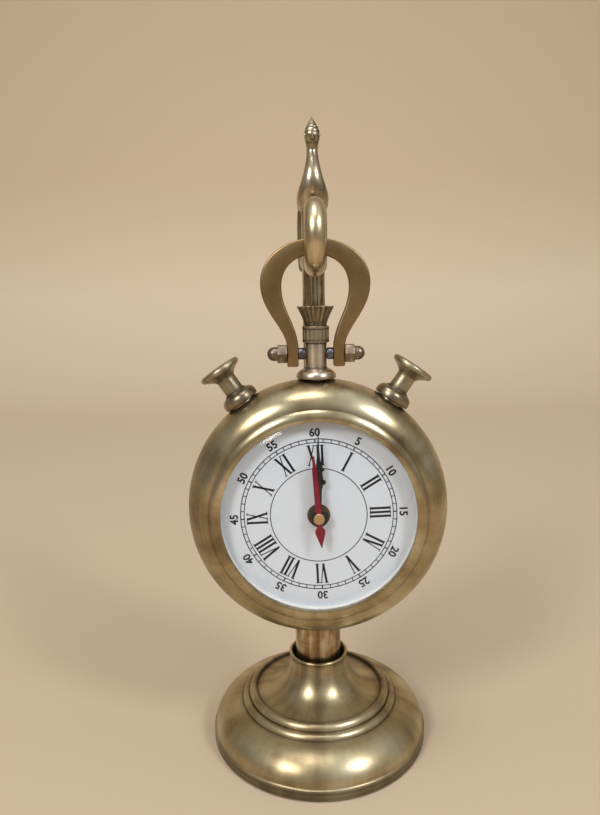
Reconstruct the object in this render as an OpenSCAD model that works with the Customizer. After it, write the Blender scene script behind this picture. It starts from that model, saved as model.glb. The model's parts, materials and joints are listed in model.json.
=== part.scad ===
// Table clock shaped like a stopwatch, hung by its bow from a ring on a brass stand.
// Millimetres, +Z up, origin under the pole on the table, dial facing -Y.

/* [Base] */
// Radius of the base where it stands
base_r = 60; // [56:1:66]
// Height of the upright band at the foot of the base
band_h = 6.4; // [5:0.2:8]
// Radius at which the dome meets the first moulded ring
shoulder_r = 43.4; // [42.6:0.2:45]
// Height at which the dome meets the first moulded ring
shoulder_h = 20.7; // [19.8:0.1:21.4]
// Radius between the two moulded rings
mould_r = 39.5; // [38.8:0.1:40.2]
// Height between the two moulded rings
mould_h = 23.2; // [22.6:0.1:23.8]
// Radius inside the second moulded ring, where the neck stands
neck_foot_r = 35.8; // [35:0.1:36.6]
// Height of the second moulded ring's inner edge
neck_foot_h = 26.5; // [26:0.1:27.2]
// Wall of the spun brass in the base
spun_t = 1.4; // [1:0.1:1.8]
// Outer radius of the neck's open lip
lip_r = 16.4; // [15.8:0.1:18]
// Height of the neck's open lip
lip_h = 47.2; // [43:0.2:52]
// Thickness of the felt pad
felt_t = 2; // [1.5:0.1:2.4]
// Radius of the iron weight
weight_r = 52; // [44:1:54]
// Thickness of the iron weight
weight_t = 8; // [7:0.5:10]

/* [Stand] */
// Radius of the column
column_r = 12.7; // [12:0.1:13.6]
// Wall of the column
column_t = 1.2; // [0.9:0.1:1.6]
// Height of the column's top edge
column_h = 68; // [62:0.5:69]
// Height of the cap above the column
cap_h = 7; // [6:0.5:8]
// Radius of the tie rod
rod_r = 3; // [2.5:0.1:3.4]
// Radius of the pole
pole_r = 5.85; // [5.4:0.05:6.4]
// Wall of the pole
pole_t = 1.1; // [0.8:0.1:1.4]
// Height of the pole's top
pole_h = 287; // [284:0.5:292]

/* [Hanging ring] */
// Distance from the pole's axis to the middle of the clock
hang_y = 30; // [29.6:0.2:33]
// Height of the ring's centre
ring_z = 272.9; // [270:0.2:275]
// Radius of the ring to the middle of its wire
ring_r = 13.3; // [12.9:0.1:14]
// Radius of the ring's wire
wire_r = 4.9; // [4.6:0.1:5.1]
// Radius of the short arm that holds the ring
arm_r = 4; // [3.4:0.1:4.3]

/* [Bow] */
// Depth of the bow from front to back
bow_d = 6; // [5:0.2:6.6]
// Half width of the bow outside
bow_w = 25.9; // [25:0.1:27]
// Thickness of the bow at its top
bow_top_t = 7.3; // [6.6:0.1:7.6]
// Half width of the gap between the bow's ends
bow_gap = 8.35; // [8:0.05:9]
// Width of each of the bow's ends
bow_leg_t = 5.5; // [5:0.1:6]
// Radius of the bolt through the bow
bolt_r = 2; // [1.6:0.1:2.2]
// Height of the bolt above the case
bolt_s = 11.6; // [11.2:0.1:12.4]

/* [Case] */
// Outer radius of the case
case_r = 64.3; // [63.5:0.1:66]
// Radius of the case's front and back openings
open_r = 51; // [50.4:0.1:51.6]
// Half thickness of the case between its openings
case_d = 18.5; // [18:0.1:18.9]
// Wall of the case
case_t = 1.3; // [1.1:0.1:1.5]
// Height of the ring's centre above the top of the case
case_drop = 65.9; // [64.5:0.1:68]
// Radius of the dial that shows inside the bezel
view_r = 46.3; // [45.6:0.1:46.8]
// How far the bezel stands in front of the case
bezel_out = 2.3; // [2.1:0.1:2.6]
// How far the glass bulges
glass_rise = 9.3; // [9:0.1:10]
// Thickness of the glass
glass_t = 1.5; // [1.2:0.1:1.8]

/* [Dial] */
// Distance of the dial's face in front of the case's middle
dial_z = 15; // [14.6:0.1:15.2]
// Thickness of the dial
dial_t = 0.8; // [0.6:0.1:1]

/* [Crown] */
// Radius of the crown's foot
foot_r = 9.6; // [9:0.1:10]
// Height of the crown's foot
foot_h = 4.8; // [4.2:0.1:5]
// Radius of the crown's stem
stem_r = 5.2; // [4.8:0.1:5.6]
// Height of the stem's top above the case
stem_h = 17.2; // [16.8:0.1:19]
// Radius of the fluted collar
collar_r = 6.3; // [6:0.1:6.8]
// Height of the fluted collar
collar_h = 7.9; // [7:0.1:8.6]
// Radius of the crown's flared rim
flare_r = 8.8; // [8:0.1:9.4]
// Height of the crown's head
head_h = 9.2; // [8.6:0.1:10]
// Number of flutes round the crown
flutes = 18; // [16:2:28]

// Number of shallow flutes round the collar under the crown
collar_flutes = 16; // [8:2:28]

/* [Buttons] */
// Angle of each button from the crown
button_a = 34.2; // [32:0.2:36]
// Radius of a button's foot
button_foot_r = 9; // [8.6:0.1:9.4]
// Height of a button's foot
button_foot_h = 6.2; // [6:0.1:7]
// Radius of a button's stem
button_stem_r = 4.7; // [4.5:0.05:4.9]
// Radius of a button's head
button_r = 10.4; // [9.6:0.1:11]
// Height of a button's top above the case
button_h = 20.6; // [20:0.2:23]
// Travel of a button
button_travel = 2; // [1:0.25:2.5]

/* [Movement] */
// Width and height of the movement
move_w = 56; // [56:1:58]
// Angle of the hour hand from twelve
hour_a = 2.5; // [0:0.5:30]
// Angle of the minute hand from twelve
minute_a = 0; // [0:1:359]
// Angle of the second hand from twelve
second_a = -4.6; // [-180:0.2:180]
// Length of the hour hand
hour_len = 27; // [24:0.5:30]
// Length of the minute hand
minute_len = 42.6; // [38:0.2:43]
// Length of the second hand
second_len = 30.5; // [28:0.5:36]
// Module of the going train's first wheels
train_m = 0.24; // [0.22:0.005:0.245]
// Module of the hands' wheels
motion_m = 0.5; // [0.48:0.01:0.51]

/* [Hidden] */
$fn = 64;
run = 0.05;        // running clearance of a shaft, on its radius
slip = 0.1;        // clearance of a fixed piece in its seat
hair = 0.02;       // gap between faces of moving pieces that only meet
clock_z = ring_z - case_drop - case_r;
web_h = neck_foot_h - 1;
web_low = web_h - spun_t;
spigot_r = 3.4;
barrel_r = 6.5;
barrel_in = 9.3;
ledge_z = dial_z - dial_t;
inner_r = open_r - case_t;
seat_r = inner_r + 0.5;
wheel_t = 0.6;
front_z = ledge_z - 1;
plate_z = front_z - 1;
deep_z = plate_z - 14.5;
back_z = deep_z - 1;
mid_z = plate_z - 4.2;
post_r = 4;
post_top = dial_z + 2.1;
hub_r = 2.6;
cannon_r = 1.95;
pin_r = 0.75;
pivot_r = 0.45;
battery_r = 7.1;
battery_y = -19.6;
battery_l = 50.5;
bay_w = 26;
train_gap = train_m * 34;
first_gap = train_m * 35;
centre_m = train_gap / 36;
rotor_m = 0.22;
rotor_gap = rotor_m * 30;
motion_gap = motion_m * 20;
rotor_a = 150;
third_a = 30;
motion_a = 90;

// Points on an arc of radius r from p to q, bulging to the left of p to q
function arc(p, q, r, n = 8) =
  let (d = q - p, l = norm(d), h = sqrt(max(r * r - l * l / 4, 0)),
       c = (p + q) / 2 + [d[1], -d[0]] / l * h,
       a0 = atan2(p[1] - c[1], p[0] - c[0]), s = 2 * asin(min(l / 2 / r, 1)))
  [for (i = [0:n]) c + r * [cos(a0 - s * i / n), sin(a0 - s * i / n)]];

// Points on a cubic curve from a to d, pulled towards b and c
function curve(a, b, c, d, n = 10) =
  [for (i = [0:n]) let (t = i / n, u = 1 - t)
    u * u * u * a + 3 * u * u * t * b + 3 * u * t * t * c + t * t * t * d];

function unit(v) = v / max(norm(v), 0.000001);

// The same line of points moved t to its right
function beside(pts, t) =
  [for (i = [0:len(pts) - 1])
    let (a = pts[max(i - 1, 0)], b = pts[min(i + 1, len(pts) - 1)], d = unit(b - a))
    pts[i] + t * [d[1], -d[0]]];

function flip(pts) = [for (i = [len(pts) - 1:-1:0]) pts[i]];

// The same arc, bulging to the right
function bead(p, q, r, n = 8) = flip(arc(q, p, r, n));

// Points of a line that lie apart from the point before them
function apart(pts) =
  [for (i = [0:len(pts) - 1]) if (i == 0 || norm(pts[i] - pts[max(i - 1, 0)]) > 0.01) pts[i]];

module ring(ro, ri, z0, z1) {
  translate([0, 0, z0]) difference() {
    cylinder(r = ro, h = z1 - z0);
    translate([0, 0, -1]) cylinder(r = ri, h = z1 - z0 + 2);
  }
}

module disc(r, z0, z1) translate([0, 0, z0]) cylinder(r = r, h = z1 - z0);

// Six-sided nut with a round bore
module hex_nut(across, bore, z0, z1) {
  difference() {
    translate([0, 0, z0]) cylinder(r = across / sqrt(3), h = z1 - z0, $fn = 6);
    translate([0, 0, z0 - 1]) cylinder(r = bore, h = z1 - z0 + 2);
  }
}

// A tube along a path of [x, y, z], with an oval section [rx, rn] at each point;
// the path lies in the YZ plane
function loft_points(path, size, sides) =
  [for (i = [0:len(path) - 1])
    let (a = path[max(i - 1, 0)], b = path[min(i + 1, len(path) - 1)],
         d = unit([b[1] - a[1], b[2] - a[2]]))
    for (k = [0:sides - 1])
      let (u = size[i][0] * cos(360 * k / sides), v = size[i][1] * sin(360 * k / sides))
      [path[i][0] + u, path[i][1] - v * d[1], path[i][2] + v * d[0]]];

// Faces of a tube of n rings of points, with both ends closed
function tube_faces(n, sides) = concat(
  [for (i = [0:n - 2]) for (k = [0:sides - 1]) for (h = [0, 1])
    let (a = i * sides + k, b = i * sides + (k + 1) % sides)
    h == 0 ? [a, b, b + sides] : [a, b + sides, a + sides]],
  [[for (k = [sides - 1:-1:0]) k], [for (k = [0:sides - 1]) (n - 1) * sides + k]]);

module loft(path, size, sides = 16)
  polyhedron(loft_points(path, size, sides), tube_faces(len(path), sides));

// Base

dome_foot = [base_r - 0.9, band_h + 0.5];
dome_span = 78;

function dome() =
  let (a = (dome_foot[0] - shoulder_r) / (1 - cos(dome_span)),
       b = (shoulder_h - dome_foot[1]) / sin(dome_span))
  [for (i = [0:10]) let (t = dome_span * i / 10)
    [dome_foot[0] - a * (1 - cos(t)), dome_foot[1] + b * sin(t)]];

function base_side() = apart(concat(
  [[base_r, felt_t / 5], [base_r, band_h - 0.5]],
  [[base_r - 0.25, band_h], [base_r - 0.8, band_h + 0.2]],
  dome(),
  bead([shoulder_r, shoulder_h], [mould_r, mould_h], 2.5),
  bead([mould_r, mould_h], [neck_foot_r, neck_foot_h], 2.7),
  [[neck_foot_r, web_h]]
));

function base_inside() = apart(concat(
  [[base_r - spun_t, felt_t / 5], [base_r - spun_t, band_h]],
  beside(dome(), -spun_t),
  [[mould_r - 0.4, mould_h - spun_t], [neck_foot_r - 1, web_low]]
));

module base_dish() color("darkkhaki") difference() {
  rotate_extrude($fn = 128)
    polygon(concat(base_side(), [[rod_r + slip, web_h], [rod_r + slip, web_low]], flip(base_inside())));
}

neck_r0 = neck_foot_r - 0.3;
neck_r1 = lip_r - 0.7;
neck_h1 = lip_h - 4.2;

function neck_side() = curve([neck_r0, web_h], [neck_r0 - 12, web_h + 1.6],
  [neck_r1 + 2.4, neck_h1 - 12.5], [neck_r1, neck_h1], 18);

module base_neck() color("darkkhaki") rotate_extrude($fn = 128) polygon(concat(
  neck_side(),
  [[neck_r1, lip_h - 2]],
  bead([lip_r, lip_h - 0.5], [lip_r - spun_t, lip_h + 0.1], 0.8, 6),
  [[neck_r1 - spun_t, lip_h - 2.4], [neck_r1 - spun_t, neck_h1]],
  flip([for (p = beside(neck_side(), -spun_t)) if (p[1] > web_h + 0.6 && p[1] < neck_h1 - 0.5) p]),
  [[neck_r0 - 9, web_h]]
));

module base_felt() color("darkgreen") disc(base_r - spun_t - 0.4, 0, felt_t);

module base_weight() color("dimgray") difference() {
  disc(weight_r, felt_t, felt_t + weight_t);
  disc(11, felt_t - 1, felt_t + weight_t - 3);
  disc(rod_r + slip, 0, felt_t + weight_t + 1);
}

module weight_spacer() color("gray") ring(rod_r + 4, rod_r + slip, felt_t + weight_t, web_low);

module tie_washer() color("silver")
  ring(rod_r + 4.5, rod_r + slip, felt_t + weight_t - 4, felt_t + weight_t - 3);

module tie_nut() color("silver")
  hex_nut(3.4 * rod_r, rod_r + run, felt_t + 0.2, felt_t + weight_t - 4);

module tie_rod() color("silver") disc(rod_r, felt_t + 0.1, column_h + 0.5);

// Column, cap and pole

column_in = column_r - column_t;

module column_plug() color("gray") ring(column_in - slip, rod_r + slip, web_h, web_h + 7);

module column() color("tan") ring(column_r, column_in, web_h, column_h);

module column_cap() color("tan") rotate_extrude() polygon([
  [rod_r + run, column_h - 7], [column_in - slip, column_h - 7], [column_in - slip, column_h],
  [column_r, column_h], [column_r, column_h + 1.4], [column_r - 1, column_h + 2.2],
  [pole_r + 3, column_h + cap_h - 1.2], [pole_r + 2, column_h + cap_h],
  [pole_r + run, column_h + cap_h], [pole_r + run, column_h + 1], [rod_r + run, column_h + 1]
]);

module pole() color("darkgoldenrod") difference() {
  ring(pole_r, pole_r - pole_t, column_h + 1, pole_h);
  translate([0, 0, ring_z]) rotate([90, 0, 0]) cylinder(r = arm_r + run, h = pole_r + 1);
}

// Ring that carries the clock, brazed to the pole by a short arm

module hanging_ring() color("khaki")
  translate([0, -hang_y, ring_z]) rotate([0, 90, 0])
    rotate_extrude($fn = 96) translate([ring_r, 0]) circle(r = wire_r, $fn = 48);

module ring_arm() color("darkgoldenrod") difference() {
  translate([0, -pole_r + pole_t, ring_z]) rotate([90, 0, 0])
    cylinder(r = arm_r, h = hang_y - ring_r - pole_r + pole_t);
  hanging_ring();
}

// Crested bird with a long train, cast in one piece

bird_z = pole_h;
bird_path = [[0, 12.4, 3.2], [0, 10.6, 4], [0, 8, 4.9], [0, 5, 5.6], [0, 1.4, 6.4], [0, -2.4, 8],
  [0, -5.2, 11], [0, -6.8, 14.6], [0, -7, 18.4], [0, -6, 22.6], [0, -4.6, 26.6], [0, -3.9, 30],
  [0, -4.2, 33], [0, -4.8, 35.6], [0, -5, 37.6], [0, -4.4, 39.6], [0, -3.4, 41.6], [0, -2.4, 43.6],
  [0, -1.6, 46.2]];
bird_size = [[7.6, 1.6], [7.7, 3], [7.9, 4.4], [8.1, 5.6], [8.1, 6.2], [8, 6.4],
  [7.2, 5.8], [5.8, 4.8], [4.6, 4], [3.6, 3.4], [3, 3], [2.75, 2.9],
  [3.1, 3.3], [3.8, 4], [4, 4.2], [3.8, 3.9], [3.1, 3.1], [2, 2],
  [0.35, 0.35]];
train_path = [[0, 9.6, 6.4], [0, 12.4, 3], [0, 14.6, -1.5], [0, 15.8, -8], [0, 16, -15],
  [0, 15.6, -21], [0, 14.8, -26.6], [0, 14, -28.6]];
train_size = [[6.4, 1.6], [7.6, 1.8], [7.9, 1.7], [8, 1.6], [8, 1.6], [7.8, 1.5], [7.3, 1.4], [5.2, 1]];
beak_path = [[0, -7.6, 35.4], [0, -10.4, 35], [0, -13, 33.6]];
beak_size = [[1.6, 1.9], [1, 1.2], [0.25, 0.3]];

module bird() color("darkkhaki") translate([0, 0, bird_z]) {
  loft(bird_path, bird_size);
  loft(train_path, train_size, 12);
  loft(beak_path, beak_size, 8);
  disc(pole_r - pole_t - slip, -8, 4);
  disc(pole_r + 0.4, 0, 4);
}

// The clock's own frame: x right, y up, z towards the viewer, origin in the case's middle

module clock_frame() translate([0, -hang_y, clock_z]) rotate([90, 0, 0]) children();

// A place on the rim of the case, z pointing outwards
module rim(a) clock_frame() rotate([0, 0, -a]) translate([0, case_r, 0]) rotate([-90, 0, 0])
  children();

// Bow, bolt, spacers and nuts

bolt_z = clock_z + case_r + bolt_s;
sag = ring_r - wire_r - sqrt((ring_r - wire_r) * (ring_r - wire_r) - bow_d * bow_d / 4);
bow_in_z = ring_z - ring_r + wire_r + sag + run;
bow_top_z = bow_in_z + bow_top_t;
bow_foot_z = bolt_z - 6.1;
bow_mid_z = bow_top_z - 20.6;
bow_arm_t = 9.9;

function bow_out() = concat(
  curve([0, bow_top_z], [14.6, bow_top_z], [bow_w, bow_mid_z + 12], [bow_w, bow_mid_z], 12),
  curve([bow_w, bow_mid_z], [bow_w, bow_mid_z - 13], [bow_gap + bow_leg_t + 0.9, bolt_z + 13],
        [bow_gap + bow_leg_t, bolt_z + 4], 12)
);

function bow_in() = concat(
  curve([0, bow_in_z], [9.4, bow_in_z], [bow_w - bow_arm_t, bow_mid_z + 7.4],
        [bow_w - bow_arm_t, bow_mid_z - 1.5], 12),
  curve([bow_w - bow_arm_t, bow_mid_z - 1.5], [bow_w - bow_arm_t, bow_mid_z - 13],
        [bow_gap + 0.8, bolt_z + 15], [bow_gap, bolt_z + 3], 12)
);

// The right half of the bow's outline, from its top outside down and back up inside
function bow_half() = apart(concat(
  bow_out(), [[bow_gap + bow_leg_t, bow_foot_z], [bow_gap, bow_foot_z]], flip(bow_in())
));

module bow() color("olivedrab") difference() {
  translate([0, -hang_y + bow_d / 2, 0]) rotate([90, 0, 0]) linear_extrude(bow_d)
    polygon(concat(bow_half(), [for (p = flip(bow_half())) if (p[0] > 0.01) [-p[0], p[1]]]));
  translate([-bow_w, -hang_y, bolt_z]) rotate([0, 90, 0]) cylinder(r = bolt_r + run, h = 2 * bow_w);
}

bolt_end = bow_gap + bow_leg_t + 6.4;

module across(x) translate([x, -hang_y, bolt_z]) rotate([0, 90, 0]) children();

module bow_bolt() color("gray") across(-bolt_end) cylinder(r = bolt_r, h = 2 * bolt_end);

module bow_spacers() color("slategray") for (x = [-bow_gap, stem_r + run]) across(x)
  ring(bolt_r + 0.85, bolt_r + run, 0, bow_gap - stem_r - run);

// Domed nut, its seat at z = 0
module cap_nut() difference() {
  union() {
    cylinder(r = 4.1 * bolt_r / sqrt(3) * 1.02, h = 4.6, $fn = 6);
    rotate_extrude() polygon([[0, 4], [3.35, 4], [3.35, 7.2], [3.1, 8.1], [2.4, 8.9], [1.3, 9.4],
      [0, 9.55]]);
  }
  disc(bolt_r + run, -1, 6.6);
}

module bow_nuts() color("darkgray") {
  across(bow_gap + bow_leg_t) cap_nut();
  across(-bow_gap - bow_leg_t) rotate([180, 0, 0]) cap_nut();
}

// Case

// Bulged side of the case; an odd count keeps its widest band straight, where the crown stands
function case_side(grow) = [for (i = [0:21]) let (t = -90 + 180 * i / 21)
  [open_r + (case_r - open_r + grow) * cos(t), (case_d + grow) * sin(t)]];

module case_ring() color("darkkhaki") difference() {
  clock_frame() rotate_extrude($fn = 128) polygon(apart(concat(
    case_side(0),
    [[seat_r, case_d], [seat_r, ledge_z], [seat_r - 3.2, ledge_z], [seat_r - 3.2, ledge_z - 1.2],
     [open_r, ledge_z - 1.2]],
    flip([for (p = case_side(-case_t)) if (p[1] < ledge_z - 1.3 && p[1] > -case_d + case_t + 0.2) p]),
    [[seat_r - 4.6, -case_d + case_t], [seat_r - 4.6, -case_d]]
  )));
  rim(0) disc(stem_r + 0.2, -8, 2);
  for (a = [-button_a, button_a]) rim(a) disc(barrel_r + slip, -12, 4);
  back_places() disc(1, -case_d - 1, -case_d + case_t + 1);
}

module back_places() clock_frame() for (a = [60, 180, 300]) rotate([0, 0, a])
  translate([0, seat_r - 2.6, 0]) children();

glass_r = view_r + 1.9;
glass_z = dial_z + 2;

// Outline of a bulged glass from its middle to its edge
function glass_line(r, h) = [for (i = [0:20]) let (t = 90 * i / 20)
  [r * sin(t), glass_z + h * cos(t)]];

// Height of the glass's outside at radius r
function glass_top(r) = glass_z + glass_rise * sqrt(1 - r * r / glass_r / glass_r);

module bezel() color("gold") clock_frame() rotate_extrude($fn = 128) polygon(concat(
  [[seat_r - slip, glass_z], [seat_r - slip, case_d], [open_r + 0.7, case_d], [open_r + 0.7, case_d + 0.5]],
  bead([open_r + 0.7, case_d + 0.5], [view_r + 0.6, case_d + bezel_out], 5),
  [[view_r, glass_top(view_r) + 0.6], [view_r, glass_top(view_r) + 0.1],
   [glass_r - 0.9, glass_top(glass_r - 0.9) + 0.15], [glass_r - 0.4, glass_top(glass_r - 0.4) + 0.2],
   [glass_r + slip, glass_z + 0.8],
   [glass_r + slip, glass_z]]
));

// The white ring that carries the glass; its inside is flush with the glass's
module dial_ring() color("ivory") clock_frame() ring(seat_r - slip, glass_r - glass_t, dial_z, glass_z);

module glass() color("lightblue", 0.3) clock_frame() rotate_extrude($fn = 128) polygon(concat(
  glass_line(glass_r - glass_t, glass_rise - glass_t), flip(glass_line(glass_r, glass_rise))
));

module dial() color("white") clock_frame() ring(seat_r - slip, post_r + slip, ledge_z, dial_z);

module back_cover() color("darkkhaki") difference() {
  clock_frame() rotate_extrude($fn = 128) polygon([
    [0, -case_d - 1.3], [seat_r - 5.6, -case_d - 1.3], [seat_r - 5.2, -case_d - 0.9],
    [open_r - 1, -case_d - 0.9], [open_r - 0.4, -case_d - 0.5], [open_r - 0.4, -case_d],
    [seat_r - 4.7, -case_d], [seat_r - 4.7, -case_d + 1], [seat_r - 5.7, -case_d + 1],
    [seat_r - 5.7, -case_d], [0, -case_d]
  ]);
  back_places() disc(1.2, -case_d - 2, -case_d + 1);
}

module back_screws() color("silver") back_places() difference() {
  union() {
    disc(0.95, -case_d - 1, -case_d + 2.4);
    disc(1.9, -case_d - 1.8, -case_d - 0.9);
  }
  translate([-2, -0.25, -case_d - 2]) cube([4, 0.5, 0.6]);
}

// Crown, above the case: foot and stem, nut inside, collar, turning head and its screw

spigot_top = stem_h + collar_h + 4.2;

module crown_stem() color("tan") rim(0) difference() {
  union() {
    rotate_extrude() polygon(concat(
      [[0, run], [foot_r - 0.5, run], [foot_r, 0.6], [foot_r, 1.7]],
      curve([foot_r, 1.7], [foot_r - 0.3, 3.3], [stem_r + 2.6, foot_h - 0.9], [stem_r + 0.5, foot_h], 8),
      [[stem_r, foot_h + 0.6], [stem_r, stem_h], [0, stem_h]]
    ));
    disc(stem_r, -7, run + 1);
    disc(spigot_r, stem_h - 1, spigot_top);
  }
  translate([-stem_r - 1, 0, bolt_s]) rotate([0, 90, 0]) cylinder(r = bolt_r + run, h = 2 * stem_r + 2);
  disc(1.2 + run, spigot_top - 6, spigot_top + 1);
}

// Nuts inside the case bear on its wall, so their tops lie as deep as the wall does at their rims
nut_r = 7.85;
nut_t = 2.3;
thick_nut_t = 3.5;

// Depth of the case's inside under its rim, at x from its middle plane
function wall_depth(x) = case_r - open_r
  - (case_r - open_r - case_t) * sqrt(1 - pow(x / (case_d - case_t), 2));

nut_top = -wall_depth(nut_r) - 0.3;

module crown_nut() color("silver") rim(0)
  hex_nut(nut_r * sqrt(3), stem_r + run, nut_top - thick_nut_t, nut_top);

module flute_ring(r, depth, n) polygon([for (i = [0:4 * n - 1])
  (r - (i % 4 < 2 ? 0 : depth)) * [cos(90 * i / n), sin(90 * i / n)]]);

module crown_collar() color("olive") rim(0) difference() {
  union() {
    translate([0, 0, stem_h]) linear_extrude(collar_h) flute_ring(collar_r, 0.3, collar_flutes);
    disc(collar_r + 0.15, stem_h, stem_h + 0.9);
    disc(collar_r + 0.15, stem_h + collar_h - 0.9, stem_h + collar_h);
  }
  disc(spigot_r + run, stem_h - 1, stem_h + collar_h + 1);
}

head_z = stem_h + collar_h + hair;
flare_z = head_z + 1.5;
neck_r = collar_r - 1;

module crown_head() color("olive") rim(0) difference() {
  rotate_extrude() polygon(concat(
    [[spigot_r + run, head_z], [neck_r, head_z], [neck_r, flare_z]],
    curve([neck_r + 0.2, flare_z], [neck_r + 0.9, flare_z + 2.4], [flare_r - 1.2, head_z + head_h - 2.6],
          [flare_r, head_z + head_h - 0.3], 8),
    [[flare_r - 0.2, head_z + head_h], [flare_r - 1, head_z + head_h], [4.9, spigot_top + 0.9],
     [4.7, spigot_top - hair], [spigot_r + run, spigot_top - hair]]
  ));
  for (i = [0:flutes - 1]) rotate([0, 0, 360 * i / flutes])
    translate([neck_r + 0.45, 0, flare_z + 0.2])
      rotate([0, atan2(flare_r - neck_r - 0.1, head_h - 2), 0]) cylinder(r = 0.5, h = 11, $fn = 16);
}

module crown_screw() color("silver") rim(0) difference() {
  union() {
    disc(1.2, spigot_top - 5, spigot_top + 1);
    disc(4.2, spigot_top, spigot_top + 1.5);
  }
  translate([-5, -0.35, spigot_top + 0.9]) cube([10, 0.7, 1]);
}

// Buttons: fixed sleeves with their nuts, sprung plungers with their clips

shoulder_s = -1.2;
floor_s = -7.6;
plunger_r = 2.4;
clip_top = -barrel_in - hair;
clip_t = 0.8;

module button_places() for (a = [-button_a, button_a]) rim(a) children();

module button_sleeves() color("tan") button_places() rotate_extrude() polygon(concat(
  [[button_stem_r + run, floor_s], [button_stem_r + run, button_foot_h],
   [button_stem_r + 0.7, button_foot_h]],
  curve([button_stem_r + 0.9, button_foot_h - 0.5], [button_stem_r + 2.8, button_foot_h - 1.2],
        [button_foot_r, 4.2], [button_foot_r, 1.6], 8),
  [[button_foot_r, 0.8], [button_foot_r - 0.5, run], [barrel_r, run], [barrel_r, -barrel_in],
   [plunger_r + run, -barrel_in], [plunger_r + run, floor_s]]
));

module button_nuts() color("silver") button_places() ring(nut_r, barrel_r + run, nut_top - nut_t, nut_top);

module plunger() rotate_extrude() polygon(concat(
  [[0, clip_top - clip_t - 1.4], [plunger_r, clip_top - clip_t - 1.4], [plunger_r, clip_top - clip_t],
   [plunger_r - 0.6, clip_top - clip_t], [plunger_r - 0.6, clip_top],
   [plunger_r, clip_top], [plunger_r, shoulder_s], [button_stem_r, shoulder_s],
   [button_stem_r, button_h - 6.6]],
  curve([button_stem_r, button_h - 6.6], [button_stem_r + 0.5, button_h - 4.3],
        [button_r - 3.2, button_h - 3.9], [button_r - 0.6, button_h - 3.3], 8),
  [[button_r - 0.1, button_h - 2.7], [button_r, button_h - 2], [button_r - 0.1, button_h - 1.3],
   [button_r - 0.6, button_h - 0.7], [button_r - 3, button_h - 0.3], [button_r - 6, button_h - 0.1],
   [0, button_h]]
));

module button_left() color("olive") rim(-button_a) plunger();
module button_right() color("olive") rim(button_a) plunger();

module clip() difference() {
  ring(plunger_r + 1.4, plunger_r - 0.6 + run, clip_top - clip_t, clip_top);
  translate([-0.9, 0, clip_top - 2]) cube([1.8, 6, 3]);
}

module button_clip_left() color("silver") rim(-button_a) clip();
module button_clip_right() color("silver") rim(button_a) clip();

// Coil spring between the sleeve's floor and the plunger's shoulder
spring_turns = 4;
spring_wire = 0.35;
spring_r = (button_stem_r + plunger_r) / 2;
spring_low = floor_s + spring_wire;
spring_high = shoulder_s - spring_wire;

module spring() {
  n = spring_turns * 12;
  pts = [for (i = [0:n]) for (k = [0:5])
    let (a = 360 * spring_turns * i / n, z = spring_low + (spring_high - spring_low) * i / n,
         r = spring_r + spring_wire * cos(60 * k))
    [r * cos(a), r * sin(a), z + spring_wire * sin(60 * k)]];
  polyhedron(pts, tube_faces(n + 1, 6));
}

module button_spring_left() color("silver") rim(-button_a) spring();
module button_spring_right() color("silver") rim(button_a) spring();

// Movement

// Toothed wheel; the first tooth points along angle a
module gear(n, m, z0, z1, a, bore, pinion = false) {
  r = m * n / 2;
  pitch = 360 / n;
  out = r + m * (pinion ? 0.75 : 0.85);
  root = r - m * (pinion ? 1.15 : 1.2);
  w = pinion ? [0.42, 0.42, 0.22] : [0.6, 0.46, 0.2];
  half = [w[0] / root, w[1] / r, w[2] / out] * r * pitch / 2;
  translate([0, 0, z0]) linear_extrude(z1 - z0) difference() {
    polygon([for (i = [0:n - 1]) for (p = [[root, -half[0]], [r, -half[1]], [out, -half[2]],
      [out, half[2]], [r, half[1]], [root, half[0]]])
      p[0] * [cos(a + i * pitch + p[1]), sin(a + i * pitch + p[1])]]);
    if (bore > 0) circle(r = bore);
  }
}

function polar(r, a) = [r * cos(a), r * sin(a), 0];

second_z = deep_z + 4.9;
third_z = second_z + 1.6;
centre_z = third_z + 2.2;
cannon_z = mid_z + 1.4;
hour_z = plate_z - 1.6;
first_z = deep_z + 3.1;
rotor_at = polar(first_gap, rotor_a) + polar(rotor_gap, rotor_a);

module box_wall(z0, z1) difference() {
  translate([-move_w / 2, -move_w / 2, z0]) cube([move_w, move_w, z1 - z0]);
  translate([-bay_w, -move_w / 2 + 1.2, z0 - 1]) cube([2 * bay_w, move_w - 2.4, z1 - z0 + 2]);
}

module bosses(z0, z1) for (p = [polar(0, 0), polar(first_gap, rotor_a), polar(train_gap, third_a), rotor_at])
  translate(p) ring(1.6, pivot_r + run, z0, z1);

module movement_front() color("darkslategray") clock_frame() difference() {
  union() {
    translate([-move_w / 2, -move_w / 2, plate_z]) cube([move_w, move_w, 1]);
    disc(post_r, plate_z, post_top);
    translate(polar(motion_gap, motion_a)) disc(1.6, hour_z + 1.3, plate_z + 0.5);
  }
  disc(hub_r + run, plate_z - 1, dial_z + 4);
  translate(polar(motion_gap, motion_a)) disc(0.6 + run, hour_z, plate_z + 0.6);
}

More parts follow.
